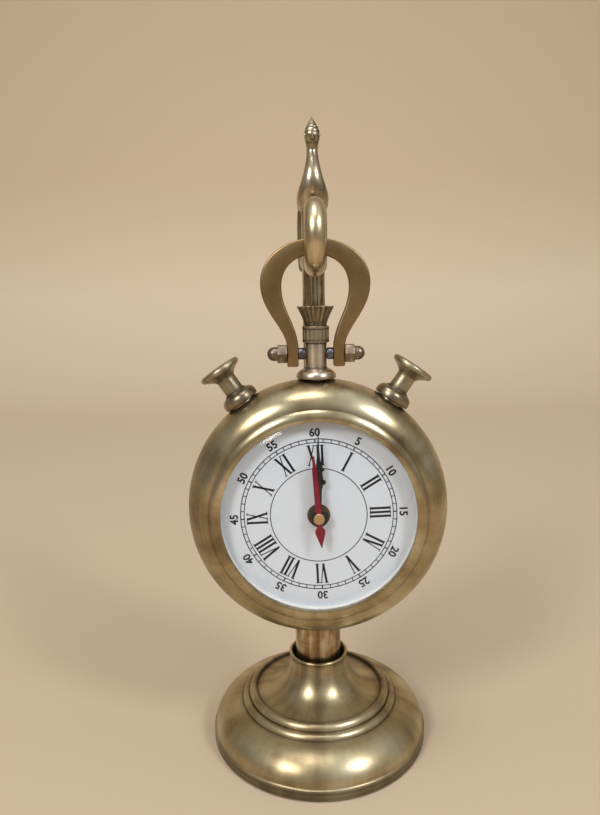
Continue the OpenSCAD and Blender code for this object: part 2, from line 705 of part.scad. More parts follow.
module movement_back() color("darkslategray") clock_frame() difference() {
  union() {
    box_wall(back_z, plate_z - hair);
    translate([-move_w / 2, -move_w / 2, back_z]) cube([move_w, move_w, 1]);
    bosses(deep_z - 0.5, deep_z + 0.5);
    translate([bay_w - 2.5, 8, deep_z - 0.5]) cube([3, 4, mid_z - deep_z + 0.5]);
    translate([bay_w - 2.5, -8, deep_z - 0.5]) cube([3, 4, mid_z - deep_z + 0.5]);
    translate([-bay_w - 0.5, -8, deep_z - 0.5]) cube([3, 8, mid_z - deep_z + 0.5]);
    translate([12, 24.3, deep_z - 0.5]) cube([4, 3, mid_z - deep_z + 0.5]);
    for (x = [leg_x, leg_x + leg_gap + 2 * leg_w - post_w]) translate([x, coil_y - 1.5, deep_z - 0.5])
      cube([post_w, 3, coil_z - deep_z + 0.1]);
  }
  for (p = [polar(0, 0), polar(first_gap, rotor_a), polar(train_gap, third_a), rotor_at])
    translate(p) disc(pivot_r + run, deep_z - 0.5, deep_z + 1);
  translate(polar(motion_gap, motion_a)) disc(0.6 + run, back_z - 1, deep_z + 1);
  translate([-bay_w, battery_y - battery_r - 0.1, back_z - 1]) cube([2 * bay_w, 2 * battery_r + 0.2, 2]);
}

module train_plate() color("ivory") clock_frame() difference() {
  translate([-bay_w + slip, -10.6, mid_z]) cube([2 * (bay_w - slip), move_w / 2 - 1.3 + 10.6, 1]);
  disc(1.5 + run, mid_z - 1, mid_z + 2);
  translate(polar(motion_gap, motion_a)) disc(0.6 + run, mid_z - 1, mid_z + 2);
  for (p = [polar(first_gap, rotor_a), polar(train_gap, third_a), rotor_at])
    translate(p) disc(pivot_r + run, mid_z - 1, mid_z + 2);
}

module mount_washer() color("black") clock_frame()
  ring(post_r + 4, post_r + slip, front_z, ledge_z);

module mount_nut() color("gold") clock_frame() {
  ring(5.5, post_r + run, dial_z, dial_z + 0.4);
  hex_nut(9, post_r + run, dial_z + 0.4, dial_z + 1.9);
}

module circuit_board() color("darkgreen") clock_frame() {
  translate([7, 15, deep_z]) cube([17, 9, 0.8]);
  translate([13, 18.5, deep_z + 0.7]) cylinder(r = 2.4, h = 0.9);
  translate([17, 16.4, deep_z + 0.7]) cube([6, 2, 1.9]);
}

coil_y = 22;
coil_z = deep_z + 6.2;

// The stator's two legs hold the coil's core between them, each on a post of the rear housing
leg_x = -24.6;
leg_w = 3;
leg_gap = 21.2;
post_w = 2.2;
coil_l = leg_gap - 0.2;
flange_r = 3.9;

module coil() color("peru") clock_frame() translate([leg_x + leg_w + 0.1, coil_y, coil_z])
  rotate([0, 90, 0]) {
    ring(3.3, 1.1, 0.5, coil_l - 0.5);
    ring(flange_r, 1.1, 0, 1);
    ring(flange_r, 1.1, coil_l - 1, coil_l);
  }

module stator() color("silver") clock_frame() difference() {
  union() {
    for (x = [leg_x, leg_x + leg_w + leg_gap]) translate([x, coil_y - 1.5, coil_z - 0.4])
      cube([leg_w, 3, 0.8]);
    translate([leg_x + post_w + 0.2, coil_y, coil_z]) rotate([0, 90, 0])
      cylinder(r = 1.1 - run, h = leg_gap + 2 * (leg_w - post_w) - 0.4);
    translate([0, 0, coil_z - 0.4]) linear_extrude(0.8) {
      polygon([[leg_x, coil_y - 1.4], [leg_x + leg_w, coil_y - 1.4],
        [leg_x + leg_w, coil_y - flange_r - 0.6], [-17, rotor_at[1] + 4], [-17, rotor_at[1] - 3.4],
        [-20, rotor_at[1] - 4], [leg_x, rotor_at[1] + 1]]);
      polygon([[leg_x + leg_w + leg_gap, coil_y - 1.4], [leg_x + 2 * leg_w + leg_gap, coil_y - 1.4],
        [leg_x + 2 * leg_w + leg_gap, coil_y - flange_r - 1.2], [-9, rotor_at[1] + 0.6],
        [-9.4, rotor_at[1] + 3.6], [leg_x + leg_w + leg_gap, coil_y - flange_r - 0.6]]);
      translate([rotor_at[0], rotor_at[1]]) circle(r = 5);
    }
  }
  translate([rotor_at[0], rotor_at[1], coil_z - 2]) cylinder(r = 3.4, h = 4);
}

battery_z = plate_z - battery_r - 0.15;

module battery() color("dimgray") clock_frame()
  translate([-battery_l / 2, battery_y, battery_z]) rotate([0, 90, 0]) {
    cylinder(r = battery_r, h = battery_l - 1);
    cylinder(r = 2.75, h = battery_l);
  }

// A plate at each end of the battery, with a dimple that touches it
module contacts() color("silver") clock_frame() for (s = [-1, 1])
  translate([s * battery_l / 2, battery_y, battery_z]) rotate([0, s * 90, 0]) {
    disc(2.5, 0, bay_w - battery_l / 2);
    translate([-4, -5, bay_w - battery_l / 2 - 0.35]) cube([8, 10, 0.35]);
  }

module rotor() color("dimgray") clock_frame() translate(rotor_at) {
  gear(10, rotor_m, first_z - 0.3, first_z + 0.9, rotor_a + 180 + 18, 0, true);
  disc(3, coil_z - 1, coil_z + 1);
  disc(0.7, first_z + 0.5, coil_z);
  disc(pivot_r, deep_z - 0.4, mid_z + 0.9);
}

module intermediate_wheel() color("white") clock_frame() translate(polar(first_gap, rotor_a)) {
  gear(50, rotor_m, first_z, first_z + wheel_t, rotor_a, 0);
  gear(10, train_m, first_z + 0.3, second_z + 0.9, rotor_a + 18, 0, true);
  disc(pivot_r, deep_z - 0.4, mid_z + 0.9);
}

module second_wheel() color("white") clock_frame() {
  gear(60, train_m, second_z, second_z + wheel_t, rotor_a, 0);
  gear(8, train_m, second_z + 0.3, third_z + 0.9, third_a, 0, true);
  disc(pin_r, third_z + 0.8, second_top);
  disc(pivot_r, deep_z - 0.4, second_z + 0.3);
}

module third_wheel() color("ivory") clock_frame() translate(polar(train_gap, third_a)) {
  gear(60, train_m, third_z, third_z + wheel_t, third_a + 3, 0);
  gear(8, centre_m, third_z + 0.3, centre_z + 0.9, third_a + 180, 0, true);
  disc(pivot_r, deep_z - 0.4, mid_z + 0.9);
}

hour_top = dial_z + 3.4;
minute_top = hour_top + 1.3;
second_top = minute_top + 1;

module centre_wheel() color("gold") clock_frame() difference() {
  union() {
    gear(64, centre_m, centre_z, centre_z + wheel_t, third_a + 180 / 64, 0);
    disc(1.5, centre_z, cannon_z + 0.1);
    gear(10, motion_m, cannon_z, cannon_z + 1, motion_a + 18, 0, true);
    disc(cannon_r, cannon_z + 0.9, minute_top);
  }
  disc(pin_r + run, centre_z - 1, minute_top + 1);
}

module motion_wheel() color("white") clock_frame() translate(polar(motion_gap, motion_a)) {
  gear(30, motion_m, cannon_z + 0.2, cannon_z + 0.2 + wheel_t, motion_a, 0);
  gear(8, motion_m, cannon_z + 0.4, hour_z + 0.9, motion_a + 180, 0, true);
  disc(0.6, back_z - 1, plate_z + 0.5);
  difference() {
    translate([0, 0, back_z - 3.6]) linear_extrude(3) flute_ring(4.5, 0.4, 20);
    translate([-5, -0.5, back_z - 4]) cube([10, 1, 1]);
  }
}

module hour_wheel() color("white") clock_frame() difference() {
  union() {
    gear(32, motion_m, hour_z, hour_z + 0.8, motion_a + 180 / 32, 0);
    disc(hub_r, hour_z, hour_top);
  }
  disc(cannon_r + run, hour_z - 1, hour_top + 1);
}

// A hand along +y: its outline is half of [distance, half width] pairs, mirrored
module hand(side, a, z0, t, bore, hub, hub_t) rotate([0, 0, -a]) difference() {
  union() {
    translate([0, 0, z0]) linear_extrude(t)
      polygon(concat([for (p = side) [p[1], p[0]]], [for (p = flip(side)) [-p[1], p[0]]]));
    disc(hub, z0 - hub_t + t, z0 + t);
  }
  disc(bore, z0 - 3, z0 + 3);
}

function spade(at, w, l) = [for (i = [0:6]) let (u = i / 6)
  [at - l / 2 + l * u, w * sin(180 * u) + 0.5]];

module hour_hand() color("black") clock_frame() hand(concat(
  [[0, 1.3], [hour_len * 0.5, 0.9]], spade(hour_len * 0.64, 1.9, 5.4), [[hour_len * 0.78, 0.5]],
  spade(hour_len * 0.84, 0.9, 2.6), [[hour_len, 0.12]]),
  hour_a, hour_top - 0.4, 0.3, hub_r + hair, 4.7, 0.9);

module minute_hand() color("black") clock_frame() hand(concat(
  [[0, 1.2], [minute_len * 0.6, 0.7]], spade(minute_len * 0.76, 1.2, 6), [[minute_len * 0.88, 0.45],
  [minute_len, 0.15]]),
  minute_a, minute_top - 0.4, 0.3, cannon_r + hair, 4.2, 0.8);

module second_hand() color("crimson") clock_frame() {
  hand([[-14, 0.2], [-13.2, 0.5], [-6, 2.4], [-5, 2.3], [-3.6, 1.1], [0, 1.1], [second_len - 6, 1.5],
    [second_len, 1.3]], second_a, second_top - 0.4, 0.3, pin_r + hair, 1.8, 0.5);
  difference() {
    disc(2.6, second_top - 0.12, second_top + 0.6);
    disc(pin_r + hair, second_top - 1, second_top + hair);
  }
}

base_felt();
base_weight();
base_dish();
base_neck();
weight_spacer();
tie_rod();
tie_washer();
tie_nut();
column_plug();
column();
column_cap();
pole();
ring_arm();
hanging_ring();
bird();
bow();
bow_bolt();
bow_spacers();
bow_nuts();
case_ring();
bezel();
dial_ring();
glass();
dial();
back_cover();
back_screws();
crown_stem();
crown_nut();
crown_collar();
crown_screw();
crown_head();
button_sleeves();
button_nuts();
button_left();
button_right();
button_clip_left();
button_clip_right();
button_spring_left();
button_spring_right();
movement_front();
movement_back();
train_plate();
mount_washer();
mount_nut();
circuit_board();
coil();
stator();
battery();
contacts();
rotor();
intermediate_wheel();
second_wheel();
third_wheel();
centre_wheel();
motion_wheel();
hour_wheel();
hour_hand();
minute_hand();
second_hand();
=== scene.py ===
import json
import math

import bmesh
import bpy
from mathutils import Matrix, Vector


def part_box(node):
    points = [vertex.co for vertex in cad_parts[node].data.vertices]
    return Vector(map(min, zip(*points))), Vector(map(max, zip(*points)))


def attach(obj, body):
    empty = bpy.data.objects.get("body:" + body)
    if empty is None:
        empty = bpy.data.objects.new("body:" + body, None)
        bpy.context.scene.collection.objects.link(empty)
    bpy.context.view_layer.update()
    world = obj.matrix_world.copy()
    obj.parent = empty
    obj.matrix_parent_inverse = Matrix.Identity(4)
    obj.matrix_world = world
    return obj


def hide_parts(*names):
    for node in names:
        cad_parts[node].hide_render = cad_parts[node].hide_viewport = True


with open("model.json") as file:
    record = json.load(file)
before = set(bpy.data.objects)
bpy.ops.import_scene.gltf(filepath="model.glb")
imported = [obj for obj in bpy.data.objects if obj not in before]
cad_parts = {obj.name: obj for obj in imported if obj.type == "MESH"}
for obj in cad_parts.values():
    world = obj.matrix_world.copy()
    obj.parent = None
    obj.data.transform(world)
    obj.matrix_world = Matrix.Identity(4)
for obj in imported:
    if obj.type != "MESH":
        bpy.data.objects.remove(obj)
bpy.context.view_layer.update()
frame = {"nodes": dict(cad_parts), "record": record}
nodes = frame["nodes"]
mm = 0.001


def middle(node):
    low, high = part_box(node)
    return [(a + b) / 2 / mm for a, b in zip(low, high)]


def extent(node):
    low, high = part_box(node)
    return [(b - a) / mm for a, b in zip(low, high)]


# every size is in millimetres; these come from the frame
clock = {
    "forward": middle("case_ring")[1],
    "height": middle("case_ring")[2],
    "radius": extent("case_ring")[2] / 2,
    "halfDepth": extent("case_ring")[1] / 2,
    "dialFace": middle("case_ring")[1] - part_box("dial")[0][1] / mm,
}
clockCentre = (0, clock["forward"], clock["height"])
print("frame loaded")


# places: each turns a piece's own x, y, z into the frame's
def onStand(x, y, z):
    return Vector((x, y, z)) * mm


# z points at the viewer, y up, from the middle of the case
def onClock(x, y, z):
    return Vector((x, clock["forward"] - z, clock["height"] + y)) * mm


# z points outwards from the rim at an angle from the crown
def onRim(angle):
    turn = math.radians(angle)

    def place(x, y, z):
        reach = clock["radius"] + z
        side = reach * math.sin(turn) + x * math.cos(turn)
        rise = reach * math.cos(turn) - x * math.sin(turn)
        return Vector((side, clock["forward"] + y, clock["height"] + rise)) * mm

    return place


# z points along the frame's X axis
def acrossAt(forward, height):
    def place(x, y, z):
        return Vector((z, forward + x, height + y)) * mm

    return place


# lines that outlines are made of
def arcLine(start, end, radius, side=1, steps=10):
    start, end = Vector(start), Vector(end)
    along = end - start
    half = along.length / 2
    lift = math.sqrt(max(radius * radius - half * half, 0))
    centre = (start + end) / 2 + Vector((along.y, -along.x)) / (2 * half) * lift * side
    first = math.atan2(start.y - centre.y, start.x - centre.x)
    sweep = -2 * side * math.asin(min(half / radius, 1))
    turns = [first + sweep * i / steps for i in range(steps + 1)]
    return [(centre.x + radius * math.cos(turn), centre.y + radius * math.sin(turn)) for turn in turns]


def curveLine(a, b, c, d, steps=14):
    line = []
    for i in range(steps + 1):
        t = i / steps
        u = 1 - t
        weights = (u**3, 3 * u * u * t, 3 * u * t * t, t**3)
        line.append(tuple(sum(w * p[k] for w, p in zip(weights, (a, b, c, d))) for k in (0, 1)))
    return line


def besideLine(line, gap):
    moved = []
    for i, point in enumerate(line):
        before, after = line[max(i - 1, 0)], line[min(i + 1, len(line) - 1)]
        along = Vector((after[0] - before[0], after[1] - before[1])).normalized()
        moved.append((point[0] + along.y * gap, point[1] - along.x * gap))
    return moved


def finerLine(line, gap):
    fine = [line[0]]
    for start, end in zip(line, line[1:]):
        length = math.dist(start, end)
        if length < 0.0005:
            continue
        count = max(1, math.ceil(length / gap))
        for i in range(1, count + 1):
            fine.append(tuple(a + (b - a) * i / count for a, b in zip(start, end)))
    return fine


# a closed cylinder or prism round the z axis
def addCylinder(bm, radius, low, high, segments):
    made = bmesh.ops.create_cone(
        bm, cap_ends=True, segments=segments, radius1=radius, radius2=radius, depth=high - low,
    )
    bmesh.ops.translate(bm, vec=(0, 0, (low + high) / 2), verts=made["verts"])
    return made["verts"]


def pointsOf(made):
    return [item for item in made["geom"] if isinstance(item, bmesh.types.BMVert)]


def thicken(bm, move):
    raised = bmesh.ops.extrude_face_region(bm, geom=bm.faces[:])
    bmesh.ops.translate(bm, vec=move, verts=pointsOf(raised))
    bmesh.ops.recalc_face_normals(bm, faces=bm.faces)


def squareEdges(bm):
    between = [edge for edge in bm.edges if len(edge.link_faces) == 2]
    return [edge for edge in between if edge.calc_face_angle() > math.radians(60)]


def soften(bm, edges, offset, segments=3):
    bmesh.ops.bevel(
        bm, geom=edges, affect="EDGES", offset=offset, segments=segments, profile=0.5, material=-1,
    )


def hardEdges(mesh, angle):
    mesh.shade_smooth()
    mesh.set_sharp_from_angle(angle=math.radians(angle))


def link(name, data):
    holder = bpy.data.objects.new(name, data)
    bpy.context.scene.collection.objects.link(holder)
    return holder


def meshFrom(bm, name):
    mesh = bpy.data.meshes.new(name)
    bm.to_mesh(mesh)
    bm.free()
    return mesh


# cuts round holes, each as (place, radius, low, high), through a finished piece
def boreHoles(piece, holes):
    bm = bmesh.new()
    for place, radius, low, high in holes:
        for vert in addCylinder(bm, radius, low, high, 96):
            vert.co = place(*vert.co)
    bmesh.ops.recalc_face_normals(bm, faces=bm.faces)
    drills = link("drills", meshFrom(bm, "drills"))
    cut = piece.modifiers.new("bores", "BOOLEAN")
    cut.operation = "DIFFERENCE"
    cut.solver = "EXACT"
    cut.object = drills
    evaluated = piece.evaluated_get(bpy.context.evaluated_depsgraph_get())
    bored = bpy.data.meshes.new_from_object(evaluated)
    piece.modifiers.clear()
    piece.data = bored
    bpy.data.objects.remove(drills)
    hardEdges(bored, 32)


# puts a mesh where it belongs, hands it to its CAD body and gives it its slot's look or its own
def finish(bm, name, place, body, slot, stands=(), material=None, angle=32):
    for vert in bm.verts:
        vert.co = place(*vert.co)
    bmesh.ops.remove_doubles(bm, verts=bm.verts, dist=0.5e-6)
    bmesh.ops.recalc_face_normals(bm, faces=bm.faces)
    mesh = meshFrom(bm, name)
    hardEdges(mesh, angle)
    piece = link(name, mesh)
    mesh.materials.append(material or looks[slot])
    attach(piece, body)
    if stands:
        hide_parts(*stands)
    return piece


# painted shade: how near each point lies to a crease or hollow, kept to darken the colour there; each spot
# may have a weight
def shadeHollows(bm, hollows, reach):
    layer = bm.verts.layers.float.new("hollow")
    for vert in bm.verts:
        here = (math.hypot(vert.co.x, vert.co.y), vert.co.z)
        depths = []
        for radius, height, *weight in hollows:
            near = math.exp(-math.dist(here, (radius, height)) / reach)
            depths.append(near * (weight or [1])[0])
        vert[layer] = max(depths, default=0)


# a piece turned on a lathe from (radius, height) pairs
def turnProfile(bm, profile, steps):
    line = [bm.verts.new((radius, 0, height)) for radius, height in profile]
    edges = [bm.edges.new(pair) for pair in zip(line, line[1:])]
    if profile[0][0] > 0.001 and profile[-1][0] > 0.001:
        edges.append(bm.edges.new((line[-1], line[0])))
    bmesh.ops.spin(
        bm, geom=line + edges, cent=(0, 0, 0), axis=(0, 0, 1), dvec=(0, 0, 0),
        angle=2 * math.pi, steps=steps, use_merge=True, use_duplicate=False,
    )
    bmesh.ops.remove_doubles(bm, verts=bm.verts, dist=0.0005)


def turned(
    name, profile, place, body, slot, stands=(), material=None, steps=128, gap=1.2, hollows=(), reach=1.6,
):
    bm = bmesh.new()
    turnProfile(bm, finerLine(profile, gap), steps)
    shadeHollows(bm, hollows, reach)
    return finish(bm, name, place, body, slot, stands, material)


# materials
def newMaterial(name):
    material = bpy.data.materials.new(name)
    material.use_nodes = True
    tree = material.node_tree
    tree.nodes.clear()
    output = tree.nodes.new("ShaderNodeOutputMaterial")
    shader = tree.nodes.new("ShaderNodeBsdfPrincipled")
    tree.links.new(shader.outputs[0], output.inputs[0])
    return material, tree, shader


# fills sockets with plain values or with links, and skips the empty ones
def feed(tree, sockets, values):
    for socket, value in zip(sockets, values):
        if isinstance(value, bpy.types.NodeSocket):
            tree.links.new(value, socket)
        elif value is not None:
            socket.default_value = value


# the same by name, with _ for a space
def fill(tree, node, **inputs):
    feed(tree, [node.inputs[key.replace("_", " ")] for key in inputs], inputs.values())
    return node


def addNode(tree, kind, **inputs):
    return fill(tree, tree.nodes.new(kind), **inputs)


def noiseAt(tree, vector, scale, detail, roughness):
    settings = {"Scale": scale, "Detail": detail, "Roughness": roughness}
    return addNode(tree, "ShaderNodeTexNoise", Vector=vector, **settings).outputs["Fac"]


def rampOf(tree, value, stops):
    node = tree.nodes.new("ShaderNodeValToRGB")
    while len(node.color_ramp.elements) < len(stops):
        node.color_ramp.elements.new(0.5)
    for element, (place, colour) in zip(node.color_ramp.elements, stops):
        element.position = place
        element.color = (*colour, 1)
    tree.links.new(value, node.inputs["Fac"])
    return node.outputs["Color"]


def spread(tree, value, low, high, toLow, toHigh):
    limits = {"From_Min": low, "From_Max": high, "To_Min": toLow, "To_Max": toHigh}
    return addNode(tree, "ShaderNodeMapRange", Value=value, **limits).outputs["Result"]


def mathOf(tree, kind, a, b=None):
    node = tree.nodes.new("ShaderNodeMath")
    node.operation = kind
    feed(tree, node.inputs, (a, b))
    return node.outputs[0]


def mixColours(tree, factor, a, b):
    node = tree.nodes.new("ShaderNodeMix")
    node.data_type = "RGBA"
    colours = [(*value, 1) if isinstance(value, tuple) else value for value in (a, b)]
    feed(tree, (node.inputs[0], node.inputs[6], node.inputs[7]), (factor, *colours))
    return node.outputs[2]


def vectorOf(tree, kind, a, b=None):
    node = tree.nodes.new("ShaderNodeVectorMath")
    node.operation = kind
    feed(tree, node.inputs, (a, b))
    return node.outputs["Value" if kind in ("LENGTH", "DOT_PRODUCT") else "Vector"]


def scaled(tree, vector, amount):
    node = tree.nodes.new("ShaderNodeVectorMath")
    node.operation = "SCALE"
    return fill(tree, node, Vector=vector, Scale=amount).outputs[0]


# coordinates round an axis: fine lines round it, soft streaks along it, and the way round
def roundAxis(tree, axis, centre):
    coords = tree.nodes.new("ShaderNodeTexCoord").outputs["Object"]
    offset = vectorOf(tree, "SUBTRACT", coords, tuple(value * mm for value in centre))
    around = vectorOf(tree, "CROSS_PRODUCT", axis, offset)
    radius = vectorOf(tree, "LENGTH", around)
    along = vectorOf(tree, "DOT_PRODUCT", offset, axis)
    unit = vectorOf(tree, "NORMALIZE", around)
    axle = tree.nodes.new("ShaderNodeCombineXYZ")
    feed(tree, axle.inputs, axis)
    path = mathOf(tree, "ADD", radius, along)

    def stretched(turns, travel):
        shift = scaled(tree, axle.outputs[0], mathOf(tree, "MULTIPLY", path, travel))
        return vectorOf(tree, "ADD", scaled(tree, unit, turns), shift)

    return coords, stretched(0.9, 900), stretched(2.6, 14), unit


def raiseBumps(tree, shader, height, strength):
    bump = addNode(tree, "ShaderNodeBump", Strength=strength, Distance=0.0002, Height=height)
    fill(tree, shader, Normal=bump.outputs[0])


# what antique brass has unless a piece says otherwise; turned is the grain left by a lathe, and dark is the
# colour of the painted shade in creases
brassLook = {
    "gold": (0.42, 0.345, 0.205), "pale": (0.585, 0.52, 0.36), "brown": (0.25, 0.19, 0.108),
    "dark": (0.04, 0.028, 0.018), "axis": (0, 0, 1), "centre": (0, 0, 0), "cloud": 34, "reach": 0.13,
    "turned": 0.55, "bump": 0.022, "stains": 0.22, "brushing": 0.3, "paintedShade": 0.95, "mostPaintedShade": 0.9,
}


def antiqueBrass(name, **changes):
    look = {**brassLook, **changes}
    material, tree, shader = newMaterial(name)
    coords, lines, streaks, around = roundAxis(tree, look["axis"], look["centre"])
    cloud = noiseAt(tree, coords, look["cloud"], 4, 0.55)
    stain = noiseAt(tree, coords, look["cloud"] * 5, 5, 0.65)
    # painted reflection and patina: paler and browner bands along turned parts stand in for reflected bands
    # of the room
    streakAndSheen = noiseAt(tree, streaks, 1.0, 3, 0.55)
    brushed = noiseAt(tree, lines, 1.0, 3, 0.7)
    # the patina: brown to pale over the piece, with streaks that are partly painted reflection bands, then
    # stains, brushing and painted shade in the hollows
    cloudShare = mathOf(tree, "MULTIPLY", cloud, 0.45)
    tone = mathOf(tree, "ADD", cloudShare, mathOf(tree, "MULTIPLY", streakAndSheen, 0.55))
    low, high = 0.5 - look["reach"], 0.5 + look["reach"]
    patina = rampOf(tree, tone, [(low, look["brown"]), (0.5, look["gold"]), (high, look["pale"])])
    stains = spread(tree, stain, 0.55, 0.8, 0.0, look["stains"])
    brushing = spread(tree, brushed, 0.4, 0.8, 0.0, look["brushing"])
    spotted = mixColours(tree, stains, patina, look["brown"])
    combed = mixColours(tree, brushing, spotted, look["pale"])
    # painted shade: the crease attribute darkens the colour towards dark
    hollow = tree.nodes.new("ShaderNodeAttribute")
    hollow.attribute_name = "hollow"
    shadeAmount = mathOf(tree, "MULTIPLY", hollow.outputs["Fac"], look["paintedShade"])
    paintedShade = mathOf(tree, "MINIMUM", shadeAmount, look["mostPaintedShade"])
    stained = spread(tree, stain, 0.3, 0.75, look["rough"], look["rough"] + 0.03)
    rough = mathOf(tree, "ADD", stained, mathOf(tree, "MULTIPLY", paintedShade, 0.25))
    rough = mathOf(tree, "ADD", rough, spread(tree, streakAndSheen, 0.3, 0.7, 0.04, -0.04))
    fill(tree, shader, Base_Color=mixColours(tree, paintedShade, combed, look["dark"]), Metallic=1, Roughness=rough)
    if look["turned"] > 0:
        fill(tree, shader, Anisotropic=look["turned"], Anisotropic_Rotation=0.25, Tangent=around)
    height = mathOf(tree, "ADD", brushed, mathOf(tree, "MULTIPLY", stain, 0.2))
    raiseBumps(tree, shader, height, look["bump"])
    return material


# a plainer finish with slight mottling
def mottled(name, dark, light, rough, metal=0, specular=0.5, scale=300, bump=0.1):
    material, tree, shader = newMaterial(name)
    coords = tree.nodes.new("ShaderNodeTexCoord").outputs["Object"]
    cloud = noiseAt(tree, coords, scale, 5, 0.6)
    colour = rampOf(tree, cloud, [(0.3, dark), (0.7, light)])
    shine = spread(tree, cloud, 0.3, 0.7, rough - 0.05, rough + 0.08)
    fill(tree, shader, Base_Color=colour, Roughness=shine, Metallic=metal, Specular_IOR_Level=specular)
    raiseBumps(tree, shader, cloud, bump)
    return material


glassShine = {"bend": 1.45, "rough": 0.02, "share": 0.55, "most": 0.09}


def clearGlass(name):
    material, tree, shader = newMaterial(name)
    fresnel = addNode(tree, "ShaderNodeFresnel", IOR=glassShine["bend"])
    shine = mathOf(tree, "MULTIPLY", fresnel.outputs[0], glassShine["share"])
    shine = mathOf(tree, "MINIMUM", shine, glassShine["most"])
    clear = tree.nodes.new("ShaderNodeBsdfTransparent")
    gloss = addNode(tree, "ShaderNodeBsdfGlossy", Roughness=glassShine["rough"])
    mix = tree.nodes.new("ShaderNodeMixShader")
    feed(tree, mix.inputs, (shine, clear.outputs[0], gloss.outputs[0]))
    output = next(node for node in tree.nodes if node.type == "OUTPUT_MATERIAL")
    tree.links.new(mix.outputs[0], output.inputs[0])
    tree.nodes.remove(shader)
    return material


# the two pushers; the barrel and the rod lie inside the case
button = {
    "angle": 34.2, "foot": 9, "footHeight": 6.2, "stem": 4.7, "head": 10.4, "height": 20.6, "bore": 4.75,
    "barrel": 6.5, "barrelLow": -9.3, "floor": -7.6, "shoulder": -1.2, "rod": 2.4, "groove": 0.8,
}


def pusherBrass(name, side, **changes):
    lean = math.radians(side * button["angle"])
    look = {
        "gold": (0.29, 0.235, 0.155), "pale": (0.42, 0.36, 0.27), "brown": (0.17, 0.13, 0.09),
        "rough": 0.3, "cloud": 90, "turned": 0.4, "centre": clockCentre,
        "axis": (math.sin(lean), 0, math.cos(lean)),
    }
    return antiqueBrass(name, **{**look, **changes})


darkLook = {
    "gold": (0.235, 0.185, 0.12), "pale": (0.36, 0.3, 0.2), "brown": (0.13, 0.1, 0.075),
    "rough": 0.33, "cloud": 120, "turned": 0, "centre": (0, clock["forward"], 0),
}
looks = {
    "base_brass": antiqueBrass("baseBrass", gold=(0.45, 0.365, 0.215), rough=0.34, reach=0.1),
    "column_brass": antiqueBrass(
        "columnBrass", gold=(0.37, 0.265, 0.14), brown=(0.2, 0.115, 0.055), rough=0.2, cloud=60, reach=0.06,
    ),
    "ring_brass": antiqueBrass(
        "ringBrass", gold=(0.60, 0.505, 0.325), pale=(0.75, 0.67, 0.49), brown=(0.40, 0.31, 0.18),
        rough=0.29, turned=0, bump=0.012, centre=clockCentre,
    ),
    "cast_brass": antiqueBrass(
        "castBrass", gold=(0.46, 0.395, 0.265), pale=(0.66, 0.58, 0.435), brown=(0.22, 0.17, 0.115),
        reach=0.1, rough=0.25, cloud=90, turned=0,
    ),
    "bow_brass": antiqueBrass(
        "bowBrass", gold=(0.285, 0.19, 0.09), pale=(0.345, 0.24, 0.12), brown=(0.21, 0.135, 0.062),
        rough=0.38, cloud=50, turned=0, bump=0.03,
    ),
    "bolt_brass": antiqueBrass(
        "boltBrass", gold=(0.2, 0.145, 0.105), pale=(0.29, 0.225, 0.165), brown=(0.13, 0.085, 0.075),
        rough=0.36, cloud=160, turned=0,
    ),
    "case_brass": antiqueBrass(
        "caseBrass", gold=(0.39, 0.315, 0.185), brown=(0.2, 0.145, 0.08), reach=0.115, rough=0.27,
        axis=(0, 1, 0), centre=clockCentre,
    ),
    "crown_brass": antiqueBrass(
        "crownBrass", gold=(0.57, 0.48, 0.37), pale=(0.74, 0.67, 0.57), brown=(0.36, 0.27, 0.2),
        rough=0.32, cloud=90, centre=(0, clock["forward"], 0),
    ),
    "dark_brass": antiqueBrass("darkBrass", **darkLook),
    "button_brass": pusherBrass("buttonBrass", 1),
    "nut_brass": antiqueBrass(
        "nutBrass", gold=(0.2, 0.12, 0.055), pale=(0.34, 0.23, 0.11), brown=(0.1, 0.06, 0.035),
        rough=0.33, axis=(0, 1, 0), centre=clockCentre,
    ),
    "felt": mottled("felt", (0.03, 0.05, 0.035), (0.06, 0.09, 0.06), 0.9, scale=900, bump=0.6),
    "iron": mottled("castIron", (0.10, 0.10, 0.10), (0.2, 0.2, 0.2), 0.6, metal=1, bump=0.4),
    "steel": mottled("steel", (0.45, 0.45, 0.46), (0.6, 0.6, 0.6), 0.32, metal=1),
    "dial_enamel": mottled("dialEnamel", (0.63, 0.69, 0.775), (0.66, 0.72, 0.805), 0.3, scale=30, bump=0),
    "black_plastic": mottled("blackPlastic", (0.02, 0.02, 0.02), (0.04, 0.04, 0.04), 0.5),
    "white_plastic": mottled("whitePlastic", (0.72, 0.71, 0.67), (0.82, 0.81, 0.77), 0.35),
    "rubber": mottled("rubber", (0.02, 0.02, 0.02), (0.04, 0.04, 0.04), 0.8),
    "board": mottled("board", (0.03, 0.15, 0.07), (0.06, 0.24, 0.12), 0.45),
    "copper": mottled("copperWire", (0.45, 0.18, 0.08), (0.7, 0.34, 0.17), 0.35, metal=1, scale=1500),
    "battery_jacket": mottled("batteryJacket", (0.08, 0.08, 0.09), (0.14, 0.14, 0.15), 0.35),
    "contact_metal": mottled("contactMetal", (0.5, 0.48, 0.44), (0.66, 0.64, 0.6), 0.3, metal=1),
    "magnet": mottled("magnet", (0.12, 0.12, 0.13), (0.24, 0.24, 0.25), 0.4, metal=1),
    "hand_black": mottled("handBlack", (0.008, 0.008, 0.009), (0.018, 0.016, 0.016), 0.4, specular=0.25),
    "hand_red": mottled("handRed", (0.16, 0.005, 0.017), (0.21, 0.008, 0.024), 0.45, specular=0.12),
    "glass": clearGlass("clearGlass"),
}
